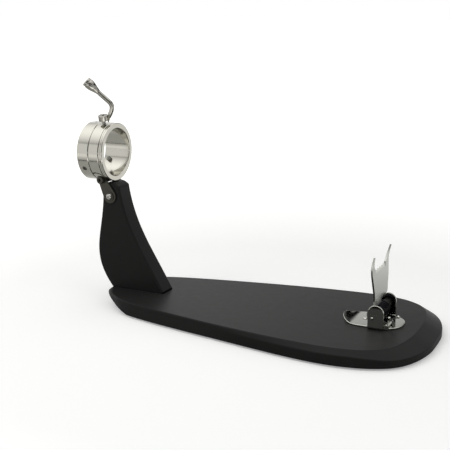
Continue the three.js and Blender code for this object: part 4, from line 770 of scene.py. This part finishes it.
# Links: two flat plates of mild steel, sawn and ground, with a dull grey finish. Each turns on a domed
# screw in the post, with a washer under its head, and the bolt through the ring's lug clamps both.
def along_the_link(tree, spot):
    return add_node(tree, "Mapping", {"Vector": spot, "Rotation": (0, 0.5, 0), "Scale": (1, 1, 0.06)})


# Mild steel, ground along its length and chemically darkened: a dull warm grey with a broad sheen. The
# grinding lines are drawn 0.8 mm apart, several times coarser than real, so that they show.
ground_steel = steel("ground_grey_steel", 0.36, "#504f48", "#42413b", along_the_link, 0.8, 0.01)
# Bright machined steel, as on screws and pins: small sharp highlights with a little softness.
bright_steel = steel("bright_steel_screw", 0.18, "#c2c1ba", "#b4b3ac", None, 1.2, 0.003)
for name, side in (("near", -1), ("far", 1)):
    low, high = sorted((side * LINK_INNER, side * LINK_OUTER))
    link = slab(f"link_plate_{name}", link_outline(0), low, high, SIDE)
    for x, z in (TILT, LUG):
        work(link, "DIFFERENCE", rod(x, 0, z, ACROSS, -THROUGH, THROUGH, BOLT_HOLE))
    dress(break_edges(link, 0.45, 40), ground_steel, "head", f"link_{name}")
    place = at(TILT[0], 0, TILT[1], (0, side, 0))
    washer = turned(
        f"washer_{name}",
        ((22.6, 5), (22.6, 8.3), (22.9, 8.5), (23.5, 8.5), (23.8, 8.1), (23.8, 3.3), (22.6, 3.3), (22.6, 5)),
        place, 0.2, 72,
    )
    dress(keep_flat(washer), ground_steel, "stand", f"tilt_washer_{name}")
    screw = turned(
        f"domed_screw_{name}",
        ((4, 0), (4, 2.4), (4.6, 3), (24.1, 3), (24.1, 5.5), (25.2, 5.5), (26.2, 4.6), (26.9, 3.2),
         (27.1, 2.2), (27.1, 0)),
        place, 0.4, 72,
    )
    work(screw, "DIFFERENCE", slab("tool", hexagon(2), 25, 40, place))
    dress(break_edges(screw, 0.1, 50), bright_steel, "stand", f"tilt_screw_{name}")

place = at(LUG[0], 0, LUG[1], (0, -1, 0))
bolt = turned(
    "clamp_bolt",
    ((-29.6, 0), (-29.6, 2.5), (-29, 3), (22.6, 3), (22.6, 6.8), (28.2, 6.8), (29.1, 6), (29.1, 0)),
    place, 0.3, 72,
)
work(bolt, "DIFFERENCE", slab("tool", hexagon(3), 25.8, 60, place))
dress(break_edges(bolt, 0.12, 50), ground_steel, "head", "lug_bolt")
nut = turned(
    "clamp_nut",
    ((-22.6, 3.3), (-22.6, 5.6), (-23.2, 6.2), (-27, 6.2), (-27.6, 5.6), (-27.6, 3.3), (-22.6, 3.3)),
    place, 0.1, 6,
)
dress(break_edges(nut, 0.2, 40), fastener, "head", "lug_nut")


# Brake: a plated screw through the band presses a nylon pad on the sleeve. A bent round arm of stainless
# steel is welded to its hub and ends in a turned knob, all polished bright.
SCREW_PLACE = Matrix.Translation((SCREW_X, 0, RING_Z)) @ Matrix.Rotation(SCREW_LEAN, 4, "X")
LEVER_TURN = radians(20)
LEVER_PLACE = SCREW_PLACE @ Matrix.Rotation(LEVER_TURN, 4, "Z")
KEY_HOLE, KEY_HOLE_STEPS = 1.5, 32
stem = turned("brake_stem", ((47.6, 0), (47.6, 3), (65.5, 3), (65.5, 0)), SCREW_PLACE, 0.3, 48)
thread = ((59.5, 0), (59.5, KEY_HOLE), (80, KEY_HOLE), (80, 0))
work(stem, "DIFFERENCE", turned("tool", thread, SCREW_PLACE, 0, KEY_HOLE_STEPS))
dress(break_edges(stem, 0.1, 50), fastener, "brake", "brake_screw")

# Black nylon, turned from rod: nearly black, half dull, with a faint fleck.
nylon, tree, shader, spot = new_material("black_nylon", 0, 0.5)
fleck = add_node(tree, "TexNoise", {"Vector": spot, "Scale": 1000 / 1.5, "Detail": 3})
tone = add_node(
    tree, "Mix", {"Factor": fleck, 6: linear("#0d0d0e"), 7: linear("#18181a")}, data_type="RGBA"
)
tree.links.new(tone.outputs[2], shader.inputs["Base Color"])
paint(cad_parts["brake_pad"], nylon)

cap_screw = turned(
    "lever_cap_screw",
    ((59.8, 0), (59.8, 1.2), (68.6, 1.2), (68.6, 2), (69.7, 2), (70.5, 1.1), (70.5, 0)),
    SCREW_PLACE, 0.25, 32,
)
dress(keep_flat(cap_screw), bright_steel, "brake", "lever_screw")


def swept(name, line, radius_at, sides, place=Matrix()):
    side = Vector((0, 1, 0))
    rings = []
    for i, point in enumerate(line):
        along = (line[min(i + 1, len(line) - 1)] - line[max(i - 1, 0)]).normalized()
        side = (side - along * side.dot(along)).normalized()
        other = along.cross(side)
        turn = [2 * pi * k / sides for k in range(sides)]
        rings.append([point + (side * cos(t) + other * sin(t)) * radius_at(i) for t in turn])
    return loft(name, rings, place)


HUB = 8.7
KNOB_HEADING = 131
KNOB_REACH = 13.5
arm_route = [
    (8.1, 0, 3), (10.14, 0, 10), (14, 0, 18), (17.2, 0, 24.4), (18.6, 0, 31), (16, 0, 38.4), (8.5, 0, 47),
]
arm_heading = Vector((cos(radians(KNOB_HEADING)), 0, sin(radians(KNOB_HEADING))))
arm_end = Vector(arm_route[-1]) + arm_heading * KNOB_REACH
arm_line = [p + Vector((0, 0, RING_RADIUS)) for p in smooth_line(arm_route + [tuple(arm_end)], 14)]
arm_end = arm_line[-1]
spigot = [arm_end + arm_heading * s for s in (0.05, 0.1, 6.6, 7)]
arm_radii = [1.4 + 2.9 * ramp(i, 0, 30) for i in range(len(arm_line))] + [2.6, 2.2, 2.2, 1.7]
lever = swept("lever_arm", arm_line + spigot, lambda i: arm_radii[i], 40, LEVER_PLACE)
hub = turned(
    "tool", ((57.8, 0), (57.8, 7.9), (58.6, HUB), (67.4, HUB), (68.3, 7.8), (68.3, 0)), LEVER_PLACE, 0.5, 96
)
work(lever, "UNION", hub)
hub_hole = ((40, 0), (40, BOLT_HOLE), (65.8, BOLT_HOLE), (65.8, 0))
work(lever, "DIFFERENCE", turned("tool", hub_hole, LEVER_PLACE, 0, 48))
cap_hole = ((60, 0), (60, KEY_HOLE), (90, KEY_HOLE), (90, 0))
work(lever, "DIFFERENCE", turned("tool", cap_hole, LEVER_PLACE, 0, KEY_HOLE_STEPS))

# Stainless steel, polished on a wheel: clear, dark-edged reflections of the room, a shade greyer than the
# turned ring.
polished = steel("polished_stainless_steel", 0.1, "#b2b0a8", "#a6a49b", None, 3, 0.002)
dress(break_edges(lever, 0.25, 55), polished, "brake", "lever")

KNOB_PLACE = LEVER_PLACE @ Matrix.Translation(arm_end) @ Matrix.Rotation(radians(90 - KNOB_HEADING), 4, "Y")
knob_side = smooth_line(
    ((0.3, 4.4), (3.3, 4.7), (8.3, 6), (13.3, 7.6), (18.3, 8.7), (22.3, 9), (25.3, 8.7)), 6
)
knob_inside = ((25.7, 8.1), (25.7, 0.6), (7.3, 0.5), (7.3, 2.5), (0.3, 2.5))
knob = turned("lever_knob_turned", [(0.3, 2.5), *knob_side, *knob_inside], KNOB_PLACE, 0, 72)
dress(break_edges(knob, 0.25, 50), polished, "brake", "lever_knob")
cap = turned(
    "lever_knob_end", ((26, 0), (26, 8.6), (29.4, 8.6), (30.2, 8), (30.6, 6.2), (30.6, 0)),
    KNOB_PLACE, 0.5, 72,
)
dress(keep_flat(cap), polished, "brake", "lever_knob_cap")


# Rear plate: one stamped stainless sheet, mirror bright, with a rim rolled in the press. Its tongue turns up
# like a spoon and is slightly hollow, two ears are bent up for the hinge pin, and two small tabs carry the
# release lever.
PIN = (498.1, 46.1)
RELEASE = (520.4, 35)
PLATE_TOP = BOARD_TOP + 3
EAR_X = 503.6
EAR_INNER, EAR_OUTER = 36.8, 39.8
EAR_TOP = BOARD_TOP + 40.2
EAR_BEND_OUTER, EAR_BEND_INNER = 4, 1
EAR_HALF, EAR_ROUND = 13, 0.6
TAB_SIDES, TAB_THICK, TAB_HALF = (-34.5, -9), 2.5, 3.8
PLATE_SCREWS = ((476, 0), (509, 20), (509, -20))
PLATE_SCREW_HOLE, PIN_HOLE, RELEASE_HOLE = 2.5, 2.8, 2.1
SCOOP_X, SCOOP_RADIUS, SHEET = 460.1, 32, 3
TONGUE_RADIUS, CORNER_RADIUS = 34, 31
DISH, DISH_REACH = 1.1, 14
RIM = 0.9
FRONT = Matrix(((0, 0, 1, 0), (1, 0, 0, 0), (0, 1, 0, 0), (0, 0, 0, 1)))  # drawn in Y and Z, thick along X


def arc(x, y, radius, start, end, steps):
    return [
        (x + radius * cos(radians(start + (end - start) * i / steps)),
         y + radius * sin(radians(start + (end - start) * i / steps)))
        for i in range(steps + 1)
    ]


def arch(x, half, foot, top, steps):
    return [(x + half, foot), *arc(x, top - half, half, 0, 180, steps), (x - half, foot)]


def sheet_ring(inset, depth):
    corner, tongue = CORNER_RADIUS - inset, TONGUE_RADIUS - inset
    plan = [
        *arc(509.1, -3.5, corner, -90, 0, 24), *arc(509.1, 3.5, corner, 0, 90, 24),
        *arc(474, 0.5, tongue, 90, 180, 32), *arc(474, -0.5, tongue, 180, 270, 32),
    ]
    ring = []
    for x, y in plan:
        bent = max(0, SCOOP_X - x)
        top, under = (
            PLATE_TOP + SCOOP_RADIUS - sqrt((SCOOP_RADIUS + down) ** 2 - bent**2) for down in (0, SHEET)
        )
        height = top - depth if depth < SHEET / 2 else under + SHEET - depth
        ring.append((x, y, height + DISH * ramp(bent, 0, DISH_REACH) * (y / TONGUE_RADIUS) ** 2))
    return ring


inner_rings = (30.5, 27, 24, 21, 18, 15, 12, 9.5, 7.5, 6, 4.5, 3, 1.8)
rim_turn = [radians(t) for t in (0, 22.5, 45, 67.5, 90)]
plate = loft("stamped_plate", [
    *[sheet_ring(inset, SHEET) for inset in inner_rings], sheet_ring(0.3, SHEET), sheet_ring(0, SHEET - 0.3),
    *[sheet_ring(RIM * (1 - cos(t)), RIM * (1 - sin(t))) for t in rim_turn],
    *[sheet_ring(inset, 0) for inset in inner_rings[::-1]],
])
inner_middle, outer_middle = EAR_INNER - EAR_BEND_INNER, EAR_OUTER - EAR_BEND_OUTER
strap = [
    (-EAR_INNER, EAR_TOP + 5),
    *arc(-inner_middle, PLATE_TOP + EAR_BEND_INNER, EAR_BEND_INNER, 180, 270, 6),
    *arc(inner_middle, PLATE_TOP + EAR_BEND_INNER, EAR_BEND_INNER, -90, 0, 6),
    (EAR_INNER, EAR_TOP + 5),
    (EAR_OUTER, EAR_TOP + 5),
    *arc(outer_middle, BOARD_TOP + EAR_BEND_OUTER, EAR_BEND_OUTER, 0, -90, 10),
    *arc(-outer_middle, BOARD_TOP + EAR_BEND_OUTER, EAR_BEND_OUTER, -90, -180, 10),
    (-EAR_OUTER, EAR_TOP + 5),
]
ears = slab("tool", strap, EAR_X - 30, EAR_X + 30, FRONT)
ear_side = arch(EAR_X, EAR_HALF, BOARD_TOP - 5, EAR_TOP, 28)
work(ears, "INTERSECT", slab("tool", ear_side, -THROUGH, THROUGH, SIDE))
round_edges(ears, EAR_ROUND, 50, 3)
settle(ears)
work(plate, "UNION", ears)
tab_side = arch(RELEASE[0], TAB_HALF, BOARD_TOP + 1, RELEASE[1] + TAB_HALF, 24)
for low in TAB_SIDES:
    work(plate, "UNION", slab("tool", tab_side, low, low + TAB_THICK, SIDE))
work(plate, "DIFFERENCE", rod(PIN[0], 0, PIN[1], ACROSS, -THROUGH, THROUGH, PIN_HOLE))
work(plate, "DIFFERENCE", rod(RELEASE[0], 0, RELEASE[1], ACROSS, -THROUGH, 0, RELEASE_HOLE, 48))
for x, y in PLATE_SCREWS:
    work(plate, "DIFFERENCE", rod(x, y, 0, UPRIGHT, 10, 40, PLATE_SCREW_HOLE, 48))

# Stainless sheet with a mirror finish: it shows the board and the backdrop almost as a looking glass
# would, in a grey just off white.
mirror = steel("mirror_stainless_steel", 0.07, "#c2c2bb", "#b8b8b1", None, 6, 0.001)
dress(break_edges(plate, 0.15, 50), mirror, "stand", "rear_plate")

for number, (x, y) in enumerate(PLATE_SCREWS, 1):
    screw = turned(
        f"round_head_screw_{number}",
        ((14.3, 0), (17, 1.6), (18, 2.2), (31.3, 2.2), (31.3, 4.2), (31.8, 4), (32.5, 2.8), (32.9, 1.6),
         (32.9, 0)),
        at(x, y, 0), 0.3, 48,
    )
    slot = [(-5, -0.5), (5, -0.5), (5, 0.5), (-5, 0.5)]
    work(screw, "DIFFERENCE", slab("tool", slot, 32.2, 40, at(x, y, 0)))
    dress(break_edges(screw, 0.06, 50), bright_steel, "stand", f"plate_screw_{number}")

pin = turned(
    "hinge_pin",
    ((-41, 0), (-41, 1.4), (-40.4, 2.3), (-39.9, 2.5), (40.1, 2.5), (40.1, 4), (40.8, 4), (41.3, 2.6),
     (41.3, 0)),
    at(PIN[0], 0, PIN[1], ACROSS), 0.25, 48,
)
dress(keep_flat(pin), bright_steel, "stand", "pivot_pin")


# Spiked plate: a thin stainless blade pressed with a slight bow, with two horns and a row of teeth along
# its top to hold the load. A neck at the near side is welded to a knuckle and a round heel on the pin.
KNUCKLE_END, KNUCKLE_RADIUS = 36.4, 5.6
HEEL_Y, HEEL_THICK, HEEL_RADIUS = -21.4, 2.4, 13.4
BLADE_THICK = 3
STRIP_HALF, STRIP_STEP = 50, 5
TEETH, TOOTH_PITCH = 5, 10.8
TOOTH_ROOT, TOOTH_TIP = 69.5, 76
ROW_HALF = 27
horn_side = smooth_line(((27, 36.4), (40, 38), (55, 42.5), (75, 46), (88, 47.2), (102.3, 46.8)), 8)
horn_inner = smooth_line(((102.3, 46.8), (92, 42.5), (83, 36), (77, 29)), 8)
far_side = [(y, up) for up, y in horn_side] + [(y, up) for up, y in horn_inner[1:]]
teeth = []
for i in range(TEETH):
    y = ROW_HALF - TOOTH_PITCH * i
    teeth += [(y, TOOTH_ROOT), (y - TOOTH_PITCH / 2, TOOTH_TIP)]
neck = [
    (-KNUCKLE_END, 0), (-23.4, 0), (-23.4, 13.4), (-21, 15.5), (-18, 18.6), (-3, 17.4), (-1.5, 19.4),
    (-1.5, 22), (0, 23.6), (3, 24.4), (KNUCKLE_END - 4, 24.4),
]
face = neck + far_side + teeth + [(-ROW_HALF, TOOTH_ROOT)] + [(-y, up) for y, up in reversed(far_side)]
bow_line = smooth_line(((0.2, 0), (0.2, 28), (-0.9, 54), (-2.7, 75), (-2.2, 87), (1.4, 104)), 8)
strip = [(PIN[0] + p.x, PIN[1] + p.y) for p in bow_line]
strip += [(x + BLADE_THICK, z) for x, z in reversed(strip)]
strips = range(-STRIP_HALF, STRIP_HALF + STRIP_STEP, STRIP_STEP)
blade = loft("spiked_blade", [[(*p, y) for p in strip] for y in strips], SIDE)
cut = slab("tool", [(y, PIN[1] + up) for y, up in face], PIN[0] - 20, PIN[0] + 20, FRONT)
work(blade, "INTERSECT", cut)
work(blade, "UNION", rod(PIN[0], 0, PIN[1], ACROSS, -KNUCKLE_END, HEEL_Y, KNUCKLE_RADIUS))
work(blade, "UNION", rod(PIN[0], 0, PIN[1], ACROSS, HEEL_Y - HEEL_THICK, HEEL_Y, HEEL_RADIUS, 96))
work(blade, "DIFFERENCE", rod(PIN[0], 0, PIN[1], ACROSS, -THROUGH, THROUGH, PIN_HOLE))


def up_the_blade(tree, spot):
    return add_node(tree, "Mapping", {"Vector": spot, "Scale": (1, 1, 0.05)})


# Stainless sheet as it leaves the mill: a soft, even grey. The rolling lines up the blade are drawn 0.6 mm
# apart, several times coarser than real, so that they show.
brushed = steel("brushed_stainless_sheet", 0.24, "#a8a9a3", "#9e9f99", up_the_blade, 0.6, 0.003)
dress(break_edges(blade, 0.8, 40), brushed, "blade", "spiked_plate")


# Fold spring: oil-blued spring wire, wound eight and a half times round a plain bush, with one leg flat on
# the plate. It pushes the blade upright again. The sizes of coil and wire are radii. LEG_STEPS are taken
# from the last of the nine turns, where the leg begins.
COIL, WIRE, COIL_ROOM = 11.4, 1.6, 8
COIL_FROM, COIL_TO = HEEL_Y + PLAY + WIRE, EAR_INNER - COIL_ROOM - WIRE
COIL_TURNS, COIL_STEPS, LEG_STEPS = 9, 40, 22
coil_line = []
for i in range(COIL_TURNS * COIL_STEPS - LEG_STEPS + 1):
    turn = pi + 2 * pi * i / COIL_STEPS
    y = COIL_FROM + (COIL_TO - COIL_FROM) * i / (COIL_TURNS * COIL_STEPS)
    coil_line.append(Vector((PIN[0] + COIL * sin(turn), y, PIN[1] - COIL * cos(turn))))
last = coil_line[-1]
leg = [
    last,
    last + Vector((4.5, 0, -1.6)),
    Vector((PIN[0] + 8, last.y, PLATE_TOP + 2.1)),
    Vector((PIN[0] + 21, last.y, PLATE_TOP + 1.9)),
]
coil_line += smooth_line(leg, 8)[1:]
coil = swept("coil_of_wire", coil_line, lambda i: WIRE, 16)

# Spring steel, hardened and blued in oil: almost black with a cold cast and a weak sheen along the turns.
wire_steel = steel("blued_spring_wire", 0.34, "#131318", "#0c0c10", None, 2, 0.004)
dress(keep_flat(coil), wire_steel, "stand", "fold_spring")
bush = turned(
    "spring_bush_turned", ((-21.1, 5), (-21.1, 8.2), (36.5, 8.2), (36.5, 2.8), (-21.1, 2.8), (-21.1, 5)),
    at(PIN[0], 0, PIN[1], ACROSS), 0.5, 64,
)
dress(keep_flat(bush), nylon, "stand", "spring_bush")


# Release lever: a small leaf of polished stainless steel, with a ball at its end. Its nose holds the
# knuckle until the leaf is pressed, and a hair spring on the same pin brings it back.
LEAF_MIDDLE, LEAF_HALF, LEAF_THICK = -23.1, 3, 2.2
BARREL_RADIUS, NOSE_HALF, BALL_RADIUS = 3.6, 1.5, 2.6
BARREL_ENDS, NOSE_ENDS, NOSE_GAP = (-31.7, -14.2), (-30.7, -24.1), 0.5
LEAF_END = (15.7, 15.3)
HAIR_COIL, HAIR_WIRE = 3.1, 0.45
HAIR_FROM, HAIR_TO, HAIR_TURNS, HAIR_STEPS = -13.45, -9.75, 2, 32
upper = smooth_line(((-2.4, 2.4), (-0.6, 4.9), (2.3, 8.4), (6.1, 11.4), (10.7, 13.7), LEAF_END), 8)
facing = [Vector((q.y - p.y, p.x - q.x)).normalized() for p, q in zip(upper, upper[1:])]
facing.append(facing[-1])
under = [p + n * LEAF_THICK for p, n in zip(upper, facing)]
leaf = [(RELEASE[0] + p.x, RELEASE[1] + p.y) for p in under + upper[::-1]]
release = rod(RELEASE[0], 0, RELEASE[1], ACROSS, *BARREL_ENDS, BARREL_RADIUS)
release.name = "release_lever_bent"
work(release, "UNION", slab("tool", leaf, LEAF_MIDDLE - LEAF_HALF, LEAF_MIDDLE + LEAF_HALF, SIDE))
to_pin = Vector((PIN[0] - RELEASE[0], PIN[1] - RELEASE[1]))
reach = to_pin.length - KNUCKLE_RADIUS - NOSE_GAP
to_pin.normalize()
half = Vector((-to_pin.y, to_pin.x)) * NOSE_HALF
start = Vector(RELEASE)
nose = [start - half, start + to_pin * reach - half, start + to_pin * reach + half, start + half]
work(release, "UNION", slab("tool", nose, *NOSE_ENDS, SIDE))
ball = [(-BALL_RADIUS * cos(pi * i / 24), BALL_RADIUS * sin(pi * i / 24)) for i in range(25)]
tip = (RELEASE[0] + LEAF_END[0], LEAF_MIDDLE, RELEASE[1] + LEAF_END[1] - LEAF_THICK / 2)
work(release, "UNION", turned("tool", ball, at(*tip, ACROSS), 0, 32))
work(release, "DIFFERENCE", rod(RELEASE[0], 0, RELEASE[1], ACROSS, -THROUGH, 0, RELEASE_HOLE, 48))
dress(break_edges(release, 0.3, 45), mirror, "release", "release_lever")
small_pin = turned(
    "release_pin_turned",
    ((-36, 0), (-36, 1.8), (-35.4, 3), (-34.8, 3), (-34.8, 1.8), (-5.9, 1.8), (-5.5, 1.4), (-5.5, 0)),
    at(RELEASE[0], 0, RELEASE[1], ACROSS), 0.3, 40,
)
dress(keep_flat(small_pin), bright_steel, "stand", "release_pin")
hair_line = []
for i in range(HAIR_TURNS * HAIR_STEPS + 1):
    turn = 2 * pi * i / HAIR_STEPS
    y = HAIR_FROM + (HAIR_TO - HAIR_FROM) * i / (HAIR_TURNS * HAIR_STEPS)
    hair_line.append(Vector((RELEASE[0] + HAIR_COIL * sin(turn), y, RELEASE[1] - HAIR_COIL * cos(turn))))
hair = swept("hair_spring", hair_line, lambda i: HAIR_WIRE, 12)
dress(keep_flat(hair), wire_steel, "stand", "release_spring")
